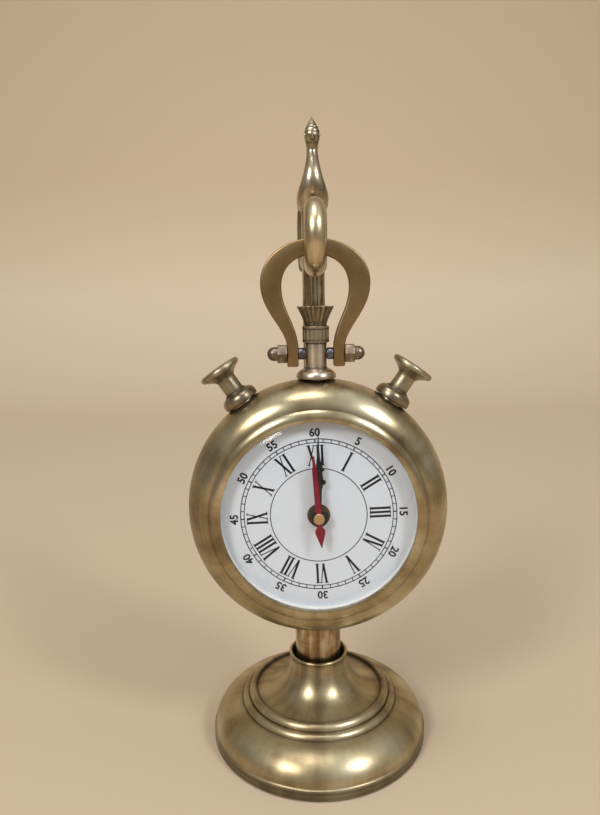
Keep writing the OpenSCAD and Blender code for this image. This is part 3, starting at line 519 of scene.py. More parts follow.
# finishes of single pieces that share a slot with others
sides = (("Left", -1), ("Right", 1))
buttonTones = {"gold": (0.37, 0.32, 0.215), "pale": (0.48, 0.43, 0.31), "brown": (0.24, 0.195, 0.13)}
sleeveBrass, buttonBrass = {}, {}
for word, side in sides:
    sleeveBrass[word] = pusherBrass("sleeveBrass" + word, side)
    buttonBrass[word] = pusherBrass("buttonBrass" + word, side, rough=0.4, **buttonTones)
spacerTones = {"gold": (0.11, 0.115, 0.135), "pale": (0.19, 0.21, 0.25), "brown": (0.08, 0.06, 0.06)}
spacerBrass = antiqueBrass("spacerBrass", **{**darkLook, **spacerTones, "rough": 0.28})
collarTones = {"gold": (0.50, 0.42, 0.28), "pale": (0.66, 0.58, 0.43), "brown": (0.3, 0.24, 0.15)}
collarBrass = antiqueBrass("collarBrass", **{**darkLook, **collarTones, "rough": 0.26})
capBrass = antiqueBrass("capBrass", gold=(0.55, 0.37, 0.2), pale=(0.62, 0.46, 0.27), rough=0.3, turned=0)
printInk = mottled("printInk", (0.006, 0.006, 0.009), (0.014, 0.014, 0.018), 0.5, specular=0.1, bump=0)

for part in frame["record"]["subparts"]:
    solid = nodes[part["node"]]
    solid.data.materials.clear()
    solid.data.materials.append(looks[part["material_slot"]])
print("materials made")


# the stand; the band heights give a dark band painted round the foot, a painted dark reflection
base = {
    "radius": 60, "band": 6.4, "shoulder": (43.4, 20.7), "mould": (39.5, 23.2), "neckFoot": (35.8, 26.5),
    "web": 25.5, "wall": 1.4, "foot": 0.4, "domeSpan": 78, "paintedDarkBand": (1.3, 2.1, 2.9, 3.7, 4.5, 5.3),
}


def domeLine(steps=24):
    startR, startH = base["radius"] - 0.9, base["band"] + 0.5
    span = math.radians(base["domeSpan"])
    across = (startR - base["shoulder"][0]) / (1 - math.cos(span))
    rise = (base["shoulder"][1] - startH) / math.sin(span)
    turns = [span * i / steps for i in range(steps + 1)]
    return [(startR - across * (1 - math.cos(turn)), startH + rise * math.sin(turn)) for turn in turns]


rim, band, baseInside = base["radius"], base["band"], base["radius"] - base["wall"]
baseOutside = (
    [(rim - 0.7, base["foot"]), (rim, base["foot"] + 0.6), (rim, band - 0.7)]
    + [(rim - 0.15, band - 0.2), (rim - 0.55, band), (rim - 0.8, band + 0.25)]
    + domeLine()
    + arcLine(base["shoulder"], base["mould"], 2.5, -1)
    + arcLine(base["mould"], base["neckFoot"], 2.7, -1)
    + [(base["neckFoot"][0], base["web"]), (4, base["web"])]
)
baseUnder = (
    [(baseInside, base["foot"]), (baseInside, band)]
    + besideLine(domeLine(), -base["wall"])
    + [(base["mould"][0] - 0.4, base["mould"][1] - base["wall"]), (4, base["web"] - base["wall"])]
)
turned(
    "baseDish", baseOutside + baseUnder[::-1], onStand, "stand", "base_brass", ["base_dish"],
    steps=192, reach=0.9,
    # painted shade in the dish's creases and at its bottom edge, and the painted dark band round the foot
    hollows=[
        (*base["shoulder"], 0.75), (*base["mould"], 0.75), (*base["neckFoot"], 0.8), (rim, base["foot"], 0.9),
        *((rim, height, 0.78) for height in base["paintedDarkBand"]),
    ],
)

neck = {"lip": 16.4, "lipHeight": 47.2, "wall": 1.4}
neckStart = (base["neckFoot"][0] - 0.3, base["web"])
neckTop = (neck["lip"] - 0.7, neck["lipHeight"] - 4.2)
neckIn = neckTop[0] - neck["wall"]
neckLine = curveLine(
    neckStart, (neckStart[0] - 12, base["web"] + 1.6), (neckTop[0] + 2.4, neckTop[1] - 12.5), neckTop, 36,
)
neckUnder = [
    point for point in besideLine(neckLine, -neck["wall"]) if base["web"] + 0.6 < point[1] < neckTop[1] - 0.5
]
lipOut = (neck["lip"], neck["lipHeight"] - 0.5)
lipIn = (neck["lip"] - neck["wall"], neck["lipHeight"] + 0.1)
neckProfile = (
    neckLine
    + [(neckTop[0], neck["lipHeight"] - 2)]
    + arcLine(lipOut, lipIn, 0.8, -1)
    + [(neckIn, neck["lipHeight"] - 2.4), (neckIn, neckTop[1])]
    + neckUnder[::-1]
    + [(neckStart[0] - 9, base["web"])]
)
# painted shade: darker where the neck meets the dish and inside its lip
turned(
    "baseNeck", neckProfile, onStand, "stand", "base_brass", ["base_neck"],
    steps=160, hollows=[neckStart, (neckIn, 38)], reach=1.3,
)

column = {"radius": extent("column")[0] / 2, "wall": 1.2, "low": base["web"], "high": 68}
pole = {"radius": extent("pole")[0] / 2, "wall": 1.1, "low": 69, "high": 287}


# a plain tube on the stand's axis
def tube(name, sizes, **options):
    low, high, outside = sizes["low"], sizes["high"], sizes["radius"]
    inside = outside - sizes["wall"]
    profile = [(outside, low), (outside, high), (inside, high), (inside, low)]
    turned(name, profile, onStand, "stand", "column_brass", [name], **options)


# painted shade: the column is darker where it stands inside the neck's lip
tube("column", column, steps=96, gap=3, hollows=[(column["radius"], 42)], reach=4)
tube("pole", pole, steps=64, gap=6)

ring = {"radius": 13.3, "wire": 4.9, "height": 272.9}
turns = [math.radians(a) for a in range(0, 360, 10)]
wire = [(ring["radius"] + ring["wire"] * math.cos(turn), ring["wire"] * math.sin(turn)) for turn in turns]
onRing = acrossAt(clock["forward"], ring["height"])
turned("hangingRing", wire, onRing, "stand", "ring_brass", ["hanging_ring"], steps=96, gap=5)
print("stand made")


bow = {
    "halfDepth": 3, "halfWidth": 25.9, "topInside": 265.1, "topOutside": 272.4, "arm": 9.9,
    "gap": 8.35, "leg": 5.5, "bolt": 218.6, "foot": 212.5, "round": 0.75,
}
topOut, topIn, bolt = bow["topOutside"], bow["topInside"], bow["bolt"]
waist = topOut - 20.6
wide, narrow = bow["halfWidth"], bow["halfWidth"] - bow["arm"]
legIn, legOut = bow["gap"], bow["gap"] + bow["leg"]
bowOutside = (
    curveLine((0, topOut), (14.6, topOut), (wide, waist + 12), (wide, waist), 22)
    + curveLine((wide, waist), (wide, waist - 13), (legOut + 0.9, bolt + 13), (legOut, bolt + 4), 22)[1:]
    + [(legOut, bow["foot"])]
)
bowInside = (
    curveLine((0, topIn), (9.4, topIn), (narrow, waist + 7.4), (narrow, waist - 1.5), 22)
    + curveLine(
        (narrow, waist - 1.5), (narrow, waist - 13), (legIn + 0.8, bolt + 15), (legIn, bolt + 3), 22,
    )[1:]
    + [(legIn, bow["foot"])]
)
bm = bmesh.new()
loops = []
for line in (bowOutside, bowInside):
    whole = [(-x, z) for x, z in line[:0:-1]] + line
    verts = [bm.verts.new((x, -bow["halfDepth"], z)) for x, z in whole]
    loops += [bm.edges.new(pair) for pair in zip(verts, verts[1:])]
bmesh.ops.bridge_loops(bm, edges=loops)
thicken(bm, (0, 2 * bow["halfDepth"], 0))
soften(bm, squareEdges(bm), bow["round"])


def onBow(x, y, z):
    return Vector((x, clock["forward"] + y, z)) * mm


finish(bm, "bow", onBow, "clock_bow", "bow_brass", ["bow"], angle=50)

nut = {"across": 8.4, "height": 4.6, "dome": 3.35, "domeStart": 6.6, "length": 9.6, "round": 0.35}
for word, side in sides:
    bm = bmesh.new()
    addCylinder(bm, nut["across"] / math.sqrt(3), 0, nut["height"], 6)
    soften(bm, bm.edges[:], nut["round"])
    domeFoot = (nut["dome"], nut["domeStart"])
    domeProfile = [(0, nut["height"] - 0.5), (nut["dome"], nut["height"] - 0.5), domeFoot]
    turnProfile(bm, domeProfile + arcLine(domeFoot, (0, nut["length"]), 3.42, -1, 10), 48)

    def besideBow(x, y, z, side=side):
        return Vector((side * (legOut + z), clock["forward"] + y, bolt + side * x)) * mm

    finish(bm, "bowNut" + word, besideBow, "clock_bow", "bolt_brass", ["bow_nuts"], angle=40)

spacer = {"radius": extent("bow_spacers")[2] / 2, "start": 5.35, "end": extent("bow_spacers")[0] / 2}
bm = bmesh.new()
addCylinder(bm, spacer["radius"], -spacer["end"], -spacer["start"], 48)
addCylinder(bm, spacer["radius"], spacer["start"], spacer["end"], 48)
soften(bm, squareEdges(bm), 0.35)
onBolt = acrossAt(clock["forward"], bolt)
finish(bm, "bowSpacers", onBolt, "clock_bow", "bolt_brass", ["bow_spacers"], spacerBrass)
print("bow made")


case = {"open": 51, "wall": 1.3, "seat": 50.2, "ledge": 14.2, "ledgeWidth": 3.2, "crownBore": 5.4}
case["bulge"] = clock["radius"] - case["open"]
front, back = clock["halfDepth"], -clock["halfDepth"]


def caseSide(grow, steps=60):
    turns = [math.radians(-90 + 180 * i / steps) for i in range(steps + 1)]
    out, deep = case["bulge"] + grow, front + grow
    return [(case["open"] + out * math.cos(turn), deep * math.sin(turn)) for turn in turns]


lowest, highest = back + case["wall"] + 0.2, case["ledge"] - 1.3
caseInside = [point for point in caseSide(-case["wall"], 30) if lowest < point[1] < highest]
ledgeIn = case["seat"] - case["ledgeWidth"]
caseProfile = (
    caseSide(0)
    + [(case["seat"], front), (case["seat"], case["ledge"]), (ledgeIn, case["ledge"])]
    + [(ledgeIn, case["ledge"] - 1.2), (case["open"], case["ledge"] - 1.2)]
    + caseInside[::-1]
    + [(case["seat"] - 4.6, back + case["wall"]), (case["seat"] - 4.6, back)]
)
# painted shade: darker in the groove under the bezel and at the back edge
caseRing = turned(
    "caseRing", caseProfile, onClock, "clock", "case_brass", ["case_ring"], steps=224,
    hollows=[(case["open"] + 0.7, front + 0.1, 0.6), (case["open"] - 0.4, back)], reach=0.7,
)
boreHoles(caseRing, [
    (onRim(0), case["crownBore"], -8, 2),
    (onRim(-button["angle"]), button["barrel"] + 0.1, -12, 4),
    (onRim(button["angle"]), button["barrel"] + 0.1, -12, 4),
])

bezel = {"view": 46.3, "out": 2.3, "glass": 48.2, "rise": 9.3, "glassWall": 1.5}
glassFoot = clock["dialFace"] + 2


def glassTop(radius):
    return glassFoot + bezel["rise"] * math.sqrt(max(1 - (radius / bezel["glass"]) ** 2, 0))


seat, view, glass = case["seat"] - 0.1, bezel["view"], bezel["glass"]
crest = front + bezel["out"]
bezelProfile = (
    [(seat, glassFoot), (seat, front), (case["open"] + 0.55, front), (case["open"] + 0.7, front + 0.15)]
    + arcLine((case["open"] + 0.7, front + 0.5), (view + 0.6, crest), 5, -1, 16)
    + [(view + 0.15, crest - 0.15), (view, crest - 0.5), (view, glassTop(view) + 0.1)]
    + [(glass - 0.9, glassTop(glass - 0.9) + 0.15), (glass - 0.4, glassTop(glass - 0.4) + 0.2)]
    + [(glass + 0.1, glassFoot + 0.8), (glass + 0.1, glassFoot)]
)
# painted shade: darker where the bezel meets the case and at the foot of the glass
turned(
    "bezel", bezelProfile, onClock, "clock", "case_brass", ["bezel"], steps=224, gap=0.8,
    hollows=[(case["open"] + 0.7, front, 0.6), (view, glassTop(view), 0.6)], reach=0.5,
)
cardRing = glass - bezel["glassWall"]
ringProfile = [
    (cardRing, clock["dialFace"]), (seat, clock["dialFace"]), (seat, glassFoot), (cardRing + 0.3, glassFoot),
    (cardRing, glassFoot - 0.3),
]
turned("dialRing", ringProfile, onClock, "clock", "white_plastic", ["dial_ring"], steps=224)


def glassLine(radius, rise, steps=48):
    turns = [math.pi / 2 * i / steps for i in range(steps + 1)]
    return [(radius * math.sin(turn), glassFoot + rise * math.cos(turn)) for turn in turns]


glassProfile = glassLine(cardRing, bezel["rise"] - bezel["glassWall"]) + glassLine(glass, bezel["rise"])[::-1]
turned("glass", glassProfile, onClock, "clock", "glass", ["glass"], steps=160, gap=4)

cover = {"out": 1.3, "edge": case["open"] - 0.4, "plate": case["seat"] - 5, "step": 0.9}
plate, edge, low = cover["plate"], cover["edge"], back - cover["step"]
coverProfile = (
    [(0, back - cover["out"]), (plate - 0.8, back - cover["out"]), (plate - 0.3, back - cover["out"] + 0.1)]
    + [(plate, low), (edge - 0.7, low), (edge - 0.2, low + 0.15), (edge, back - 0.4), (edge, back), (0, back)]
)
# painted shade: darker in the step of the cover and at its edge
turned(
    "backCover", coverProfile, onClock, "clock", "case_brass", ["back_cover"],
    steps=192, gap=3, hollows=[(plate, low), (edge, back)], reach=0.8,
)
print("case made")


crown = {
    "foot": 9.6, "footHeight": 4.8, "stem": 5.2, "stemHeight": 17.2, "tail": -7, "bore": 3.45,
    "collar": 6.3, "collarHeight": 7.9, "collarFlutes": 16, "collarCut": 0.45,
    "flare": 8.8, "headHeight": 9.2, "flutes": 18,
}
foot, footHeight, stem = crown["foot"], crown["footHeight"], crown["stem"]
stemProfile = (
    [(0, crown["tail"]), (stem, crown["tail"]), (stem, 0.05), (foot - 0.7, 0.05), (foot - 0.15, 0.3)]
    + [(foot, 0.8), (foot, 1.2)]
    + curveLine((foot, 1.4), (foot - 0.3, 3.2), (stem + 2.6, 3.9), (stem + 0.7, footHeight), 14)
    + [(stem + 0.1, footHeight + 0.3), (stem, footHeight + 0.8), (stem, crown["stemHeight"])]
    + [(0, crown["stemHeight"])]
)
# painted shade: darker where the stem meets its foot, under the foot and under the collar
turned(
    "crownStem", stemProfile, onRim(0), "clock", "crown_brass", ["crown_stem"],
    steps=96, gap=0.8, reach=0.9,
    hollows=[(stem, footHeight + 0.3), (foot - 0.6, 0.05), (stem, crown["stemHeight"])],
)


# a turned piece whose side is cut into flutes; depth gives how deep at each radius and height
def fluted(name, profile, depth, count, body, stands, hollows, reach, sharp, material=None):
    bm = bmesh.new()
    turnProfile(bm, finerLine(profile, 0.6), count * 12)
    shadeHollows(bm, hollows, reach)
    layer = bm.verts.layers.float["hollow"]
    for vert in bm.verts:
        radius = math.hypot(vert.co.x, vert.co.y)
        cut = depth(radius, vert.co.z)
        if cut <= 0 or radius < 0.01:
            continue
        wave = (0.5 - 0.5 * math.cos(count * math.atan2(vert.co.y, vert.co.x))) ** sharp
        vert.co.x *= 1 - cut * wave / radius
        vert.co.y *= 1 - cut * wave / radius
        # painted shade: the flute grooves are darkened by their depth
        vert[layer] = max(vert[layer], 0.5 * wave * min(cut / 0.6, 1))
    return finish(bm, name, onRim(0), body, "dark_brass", stands, material, angle=40)


collar, collarLow = crown["collar"], crown["stemHeight"]
collarHigh = collarLow + crown["collarHeight"]
collarProfile = [
    (3.5, collarLow), (collar - 0.2, collarLow), (collar + 0.15, collarLow + 0.25),
    (collar + 0.15, collarLow + 0.9), (collar, collarLow + 1.1), (collar, collarHigh - 1.4),
    (collar + 0.2, collarHigh - 1.2), (collar + 0.2, collarHigh - 0.3), (collar - 0.1, collarHigh),
    (3.5, collarHigh),
]


def collarCut(radius, height):
    onBand = collarLow + 1 < height < collarHigh - 1.35
    return crown["collarCut"] if onBand and radius > collar - 0.3 else 0


# painted shade: the collar and the head are darker at their steps and in their flutes
fluted(
    "crownCollar", collarProfile, collarCut, crown["collarFlutes"], "clock", ["crown_collar"],
    [(collar, collarLow + 1.1), (collar, collarHigh - 1.4), (5.3, collarHigh)], 0.5, 0.8, collarBrass,
)

headLow, headNeck = collarHigh + 0.02, collar - 1
headTop = headLow + crown["headHeight"]
flare, headBore = crown["flare"], crown["bore"]
headProfile = (
    [(headBore, headLow), (headNeck, headLow), (headNeck, headLow + 1.5)]
    + curveLine(
        (headNeck + 0.2, headLow + 1.5), (headNeck + 0.9, headLow + 3.9), (flare - 1.2, headTop - 2.6),
        (flare, headTop - 0.3), 16,
    )
    + [(flare - 0.2, headTop), (flare - 1.1, headTop), (4.9, headTop - 4), (4.7, headTop - 5.1)]
    + [(headBore, headTop - 5.1)]
)


def headCut(radius, height):
    if height < headLow + 1.4 or radius < headNeck - 0.4:
        return 0
    rise = (height - headLow - 1.4) / (crown["headHeight"] - 1.4)
    onOutside = radius > headNeck + (flare - headNeck) * rise - 1.3
    return (0.25 + 0.75 * rise) if onOutside and radius > 4.95 else 0


fluted(
    "crownHead", headProfile, headCut, crown["flutes"], "crown", ["crown_head"],
    [(headNeck, headLow + 1.2), (headNeck, headLow), (4.7, headTop - 5)], 0.8, 1.3,
)
print("crown made")


foot, footHeight, stem, head = button["foot"], button["footHeight"], button["stem"], button["head"]
rod, top = button["rod"], button["height"]
sleeveProfile = (
    [(button["bore"], button["floor"]), (button["bore"], footHeight), (stem + 0.7, footHeight)]
    + curveLine((stem + 0.9, footHeight - 0.5), (stem + 2.8, footHeight - 1.2), (foot, 4.2), (foot, 1.6), 14)
    + [(foot, 0.8), (foot - 0.15, 0.3), (foot - 0.6, 0.05), (button["barrel"], 0.05)]
    + [(button["barrel"], button["barrelLow"]), (rod + 0.05, button["barrelLow"])]
    + [(rod + 0.05, button["floor"])]
)
clipTop = button["barrelLow"] - 0.02
clipLow = clipTop - button["groove"]
pusherProfile = (
    [(0, clipLow - 1.4), (rod, clipLow - 1.4), (rod, clipLow), (rod - 0.6, clipLow), (rod - 0.6, clipTop)]
    + [(rod, clipTop), (rod, button["shoulder"]), (stem, button["shoulder"]), (stem, top - 7)]
    + curveLine(
        (stem, top - 7), (stem + 0.7, top - 5.4), (head - 2.6, top - 4.3), (head - 0.6, top - 3.3), 18,
    )
    + arcLine((head - 0.5, top - 3.25), (head - 0.5, top - 0.75), 1.5, -1, 10)
    + curveLine((head - 0.8, top - 0.6), (head - 3, top - 0.2), (4, top), (0, top), 12)
)
# painted shade: darker where the pusher enters its sleeve, under the sleeve's foot and under the head
for word, side in sides:
    place = onRim(side * button["angle"])
    turned(
        "buttonSleeve" + word, sleeveProfile, place, "clock", "crown_brass", ["button_sleeves"],
        sleeveBrass[word], steps=96, gap=0.8, reach=0.9,
        hollows=[(stem + 0.7, footHeight), (foot - 0.6, 0.05)],
    )
    turned(
        "button" + word, pusherProfile, place, word.lower() + "_button", "button_brass",
        ["button_" + word.lower()], buttonBrass[word], steps=96, gap=0.8, reach=1.1,
        hollows=[(stem, footHeight), (stem + 0.5, top - 6, 0.5)],
    )
print("buttons made")


# the print on the dial, as flat ink; the whole print is turned a little, as it is on the clock
dial = {
    "lift": 0.03, "turn": 2.2, "inner": 23.1, "romanLow": 24.4, "romanHigh": 34.4, "trackIn": 35.6,
    "trackOut": 37.3, "line": 0.42, "hourMark": 0.62, "thick": 1.12, "thin": 0.5, "serif": 0.4,
    "digitMiddle": 40.3, "digitHeight": 3.75, "digitWeight": 0.17, "digitWidth": 0.97,
}
# strokes are (side at the foot, side at the top, width), serifs are (side, end, width)
letters = {
    "I": {
        "width": 2.0, "strokes": [(0, 0, "thick")], "serifs": [(0, "high", 1.9), (0, "low", 1.9)],
    },
    "V": {
        "width": 4.0, "strokes": [(0.1, -1.25, "thick"), (0.1, 1.35, "thin")],
        "serifs": [(-1.25, "high", 1.9), (1.35, "high", 1.3)],
    },
    "X": {
        "width": 4.2, "strokes": [(1.35, -1.35, "thick"), (-1.35, 1.35, "thin")],
        "serifs": [(-1.35, "high", 1.8), (1.35, "high", 1.3), (1.35, "low", 1.8), (-1.35, "low", 1.3)],
    },
}


def atClockAngle(angle, side, rise):
    turn = math.radians(angle)
    return (rise * math.sin(turn) + side * math.cos(turn), rise * math.cos(turn) - side * math.sin(turn), 0)


def inkRing(bm, radius, width):
    inside, outside = radius - width / 2, radius + width / 2
    made = bmesh.ops.create_circle(bm, cap_ends=False, segments=180, radius=inside)
    edges = list({edge for vert in made["verts"] for edge in vert.link_edges})
    grown = bmesh.ops.extrude_edge_only(bm, edges=edges)
    bmesh.ops.scale(bm, vec=(outside / inside, outside / inside, 1), verts=pointsOf(grown))


# a stroke between two ends, each (side, rise); side runs clockwise, rise outwards
def slanted(bm, angle, low, high, width):
    half = width / 2
    corners = [(low, -half), (low, half), (high, half), (high, -half)]
    bm.faces.new([bm.verts.new(atClockAngle(angle, end[0] + shift, end[1])) for end, shift in corners])


def romanLetter(bm, angle, letter, centre):
    low, high = dial["romanLow"], dial["romanHigh"]
    for atFoot, atTop, width in letter["strokes"]:
        slanted(bm, angle, (centre + atFoot, low), (centre + atTop, high), dial[width])
    starts = {"low": low, "high": high - dial["serif"]}
    for side, end, width in letter["serifs"]:
        rise = starts[end]
        slanted(bm, angle, (centre + side, rise), (centre + side, rise + dial["serif"]), width)


def digitsAt(bm, angle, word):
    text = bpy.data.curves.new("digits", "FONT")
    text.body = word
    text.size = dial["digitHeight"] * 1.42
    text.offset = dial["digitWeight"]
    text.align_x = "CENTER"
    text.align_y = "CENTER"
    text.resolution_u = 3
    holder = link("digits", text)
    shape = bpy.data.meshes.new_from_object(holder.evaluated_get(bpy.context.evaluated_depsgraph_get()))
    bpy.data.objects.remove(holder)
    bpy.data.curves.remove(text)
    before = len(bm.verts)
    bm.from_mesh(shape)
    bpy.data.meshes.remove(shape)
    bm.verts.ensure_lookup_table()
    for vert in bm.verts[before:]:
        vert.co = atClockAngle(angle, vert.co.x * dial["digitWidth"], vert.co.y + dial["digitMiddle"])


bm = bmesh.new()
inkRing(bm, dial["inner"], dial["line"])
inkRing(bm, dial["trackIn"], dial["line"])
inkRing(bm, dial["trackOut"], dial["line"] + 0.05)
for minute in range(60):
    width = dial["line"] if minute % 5 else dial["hourMark"]
    slanted(bm, 6 * minute, (0, dial["trackIn"]), (0, dial["trackOut"]), width)
for hour, word in enumerate(["XII", "I", "II", "III", "IV", "V", "VI", "VII", "VIII", "IX", "X", "XI"]):
    left = -sum(letters[letter]["width"] for letter in word) / 2
    for letter in word:
        width = letters[letter]["width"]
        romanLetter(bm, 30 * hour, letters[letter], left + width / 2)
        left += width
    digitsAt(bm, 30 * hour, str(5 * hour or 60))
printTurn = Matrix.Rotation(math.radians(dial["turn"]), 3, "Z")
bmesh.ops.rotate(bm, cent=(0, 0, 0), matrix=printTurn, verts=bm.verts)
bmesh.ops.translate(bm, vec=(0, 0, clock["dialFace"] + dial["lift"]), verts=bm.verts)
dialPrint = finish(bm, "dialPrint", onClock, "clock", "hand_black", material=printInk)
dialPrint.data.shade_flat()
print("dial printed")


# outlines are (distance from the centre, half width); lobes are (distance, side, radius)
hands = {
    "hour": {
        "turn": 2.9, "under": 0.35, "hub": 4.7,
        "outline": [
            (-2, 0.9), (0, 1.1), (13.5, 0.9), (15, 1.2), (19.5, 1.2), (21, 0.8), (24.5, 0.75), (26, 0.45),
            (30.5, 0.12),
        ],
        "lobes": [(17.2, 1.35, 1.25), (17.2, -1.35, 1.25), (23.2, 0.8, 0.8), (23.2, -0.8, 0.8)],
    },
    "minute": {
        "turn": 0, "under": 0.35, "hub": 4.3,
        "outline": [
            (-2, 0.8), (0, 0.9), (12, 0.8), (18, 1.25), (24, 1.2), (30, 0.7), (34, 0.42), (42.6, 0.12),
        ],
        "lobes": [],
    },
    "second": {
        "turn": -4.6, "under": 1.0, "hub": 1.9,
        "outline": [
            (-14.4, 0.12), (-12.5, 0.7), (-7.2, 2.35), (-6.2, 2.4), (-5.2, 2.1), (-4.2, 1.2), (0, 1.15),
            (4, 1.4), (23.5, 1.12), (24.2, 1.0), (25.5, 0.72), (30.3, 0.5),
        ],
        "lobes": [],
    },
}
handThick = 0.3


def flatHand(word, slot):
    hand, node = hands[word], word + "_hand"
    behind = clock["forward"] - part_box(node)[1][1] / mm
    front = clock["forward"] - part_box(node)[0][1] / mm
    low = front - hand["under"]
    high, hub = low + handThick, hand["hub"]
    bm = bmesh.new()
    right = [bm.verts.new((width, along, low)) for along, width in hand["outline"]]
    left = [bm.verts.new((-width, along, low)) for along, width in reversed(hand["outline"])]
    bm.faces.new(right + left)
    for along, side, radius in hand["lobes"]:
        at = Matrix.Translation((side, along, low))
        bmesh.ops.create_circle(bm, cap_ends=True, segments=20, radius=radius, matrix=at)
    thicken(bm, (0, 0, handThick))
    halfway = low + handThick / 2
    edges = [edge for edge in squareEdges(bm) if min(vert.co.z for vert in edge.verts) > halfway]
    soften(bm, edges, handThick * 0.25, 2)
    turn = Matrix.Rotation(math.radians(-hand["turn"]), 3, "Z")
    bmesh.ops.rotate(bm, cent=(0, 0, 0), matrix=turn, verts=bm.verts)
    hubProfile = [(0, behind), (hub - 0.15, behind), (hub, behind + 0.15), (hub, high)]
    turnProfile(bm, hubProfile + [(hub - 0.15, high + 0.12), (0, high + 0.12)], 48)
    finish(bm, word + "Hand", onClock, word + "s", slot, [node])
    return front


flatHand("hour", "hand_black")
flatHand("minute", "hand_black")
capTop = flatHand("second", "hand_red")
capOutline = [(0, -0.7), (2.5, -0.7), (2.6, -0.55), (2.6, -0.2), (2.4, 0), (0, 0)]
capProfile = [(radius, capTop + rise) for radius, rise in capOutline]
turned("secondCap", capProfile, onClock, "seconds", "nut_brass", material=capBrass, steps=48, gap=1)
print("hands made")


# the bird, from (forward, height over the foot, half width, half depth) along each part
bird = {
    "foot": 287,
    "body": [
        (12.4, 3.2, 7.6, 1.6), (10.6, 4, 7.7, 3), (8, 4.9, 7.9, 4.4), (5, 5.6, 8.1, 5.6),
        (1.4, 6.4, 8.1, 6.2), (-2.4, 8, 8, 6.4), (-5.2, 11, 7.2, 5.8), (-6.8, 14.6, 5.8, 4.8),
        (-7, 18.4, 4.6, 4), (-6, 22.6, 3.6, 3.4), (-4.6, 26.6, 3, 3), (-3.9, 30, 2.75, 2.9),
        (-4.2, 33, 3.1, 3.3), (-4.8, 35.6, 3.8, 4), (-5, 37.6, 4, 4.2), (-4.4, 39.6, 3.4, 3.6),
        (-3.4, 41.6, 2.35, 2.6), (-2.4, 43.6, 1.5, 1.7), (-1.6, 46.2, 0.4, 0.4),
    ],
    "train": [
        (9.6, 6.4, 6.4, 1.6), (12.4, 3, 7.6, 1.8), (14.6, -1.5, 7.9, 1.7), (15.8, -8, 8, 1.6),
        (16, -15, 8, 1.6), (15.6, -21, 7.8, 1.5), (14.8, -26.6, 7.3, 1.4), (14, -28.6, 5.2, 1),
    ],
    "beak": [(-7.6, 35.4, 1.6, 1.9), (-10.4, 35, 1, 1.2), (-13, 33.6, 0.25, 0.3)],
    "wing": [
        (-2.2, 10.8, 0.7, 1.2), (0.4, 9.8, 1.6, 3), (3.4, 8.5, 1.9, 3.6), (7, 6.9, 1.8, 3.1),
        (10.8, 5.3, 1.3, 1.9), (13.6, 3.9, 0.4, 0.7),
    ],
    "wingSide": 5.6, "crestStart": 0.73, "crestDepth": 0.62, "eye": (3.35, -6.4, 36.6), "eyeSize": 0.75,
}
birdFoot = bird["foot"]


# spans the stations with a smooth run of rings
def smoothStations(stations, between):
    run = []
    for i in range(len(stations) - 1):
        around = [stations[max(min(i + k, len(stations) - 1), 0)] for k in (-1, 0, 1, 2)]
        for j in range(between):
            t = j / between
            weights = (
                -0.5 * t**3 + t * t - 0.5 * t, 1.5 * t**3 - 2.5 * t * t + 1,
                -1.5 * t**3 + 2 * t * t + 0.5 * t, 0.5 * t**3 - 0.5 * t * t,
            )
            run.append([sum(w * s[k] for w, s in zip(weights, around)) for k in range(4)])
    run.append(list(stations[-1]))
    return run


# oval rings along a line in the YZ plane; carve gives a depth at (share of the line, angle), and dark gives
# (height, reach, depth) of bands of painted shade
def oval(bm, part, segments, between, side=0, carve=None, dark=()):
    stations = [(y, birdFoot + rise, width, thick) for y, rise, width, thick in bird[part]]
    run = smoothStations(stations, between)
    layer = bm.verts.layers.float.get("hollow") or bm.verts.layers.float.new("hollow")
    rings = []
    for i, (y, z, width, thick) in enumerate(run):
        before, after = run[max(i - 1, 0)], run[min(i + 1, len(run) - 1)]
        along = Vector((0, after[0] - before[0], after[1] - before[1])).normalized()
        up = Vector((0, -along.z, along.y))
        made = bmesh.ops.create_circle(bm, cap_ends=False, segments=segments, radius=1)
        for k, vert in enumerate(made["verts"]):
            angle = 2 * math.pi * k / segments
            cut = carve(i / (len(run) - 1), angle) if carve else 0
            across = max(width - cut, 0.1 * width) * math.cos(angle)
            out = max(thick - cut, 0.1 * thick) * math.sin(angle)
            vert.co = Vector((side + across, y, z)) + up * out
            # painted shade: the dark bands by height, and carved grooves by their depth
            shades = [depth * math.exp(-abs(z - birdFoot - rise) / fade) for rise, fade, depth in dark]
            vert[layer] = min(max(cut * 1.6, *shades, 0), 0.85)
        rings.append(list({edge for vert in made["verts"] for edge in vert.link_edges}))
    for lower, upper in zip(rings, rings[1:]):
        bmesh.ops.bridge_loops(bm, edges=lower + upper)
    bmesh.ops.holes_fill(bm, edges=rings[0] + rings[-1], sides=0)


# overlapping leaf shapes up the crest, pointing to the beak
def crestCarve(share, angle):
    if share < bird["crestStart"]:
        return 0
    fold = abs(math.sin(angle * 2 + math.pi / 4))
    leaf = 0.5 + 0.5 * math.sin(share * 150 - fold * 3.2)
    return bird["crestDepth"] * leaf * min((share - bird["crestStart"]) * 14, 1)


# long feathers with barbs down the back of the train, which is smooth in front
def trainCarve(share, angle):
    if math.sin(angle) < 0.12:
        return 0.03 * (0.5 + 0.5 * math.cos(angle * 11))
    place = 8 * math.cos(angle)
    feather = 0.5 - 0.5 * math.cos(place * 2.35)
    barb = 0.5 + 0.5 * math.sin(share * 66 + 2.2 * abs(math.sin(place * 1.175)))
    return 0.26 * (1 - feather) ** 2 + 0.13 * barb


def wingCarve(share, angle):
    return 0.22 * (0.5 + 0.5 * math.sin(share * 34 + 2 * math.sin(angle)))


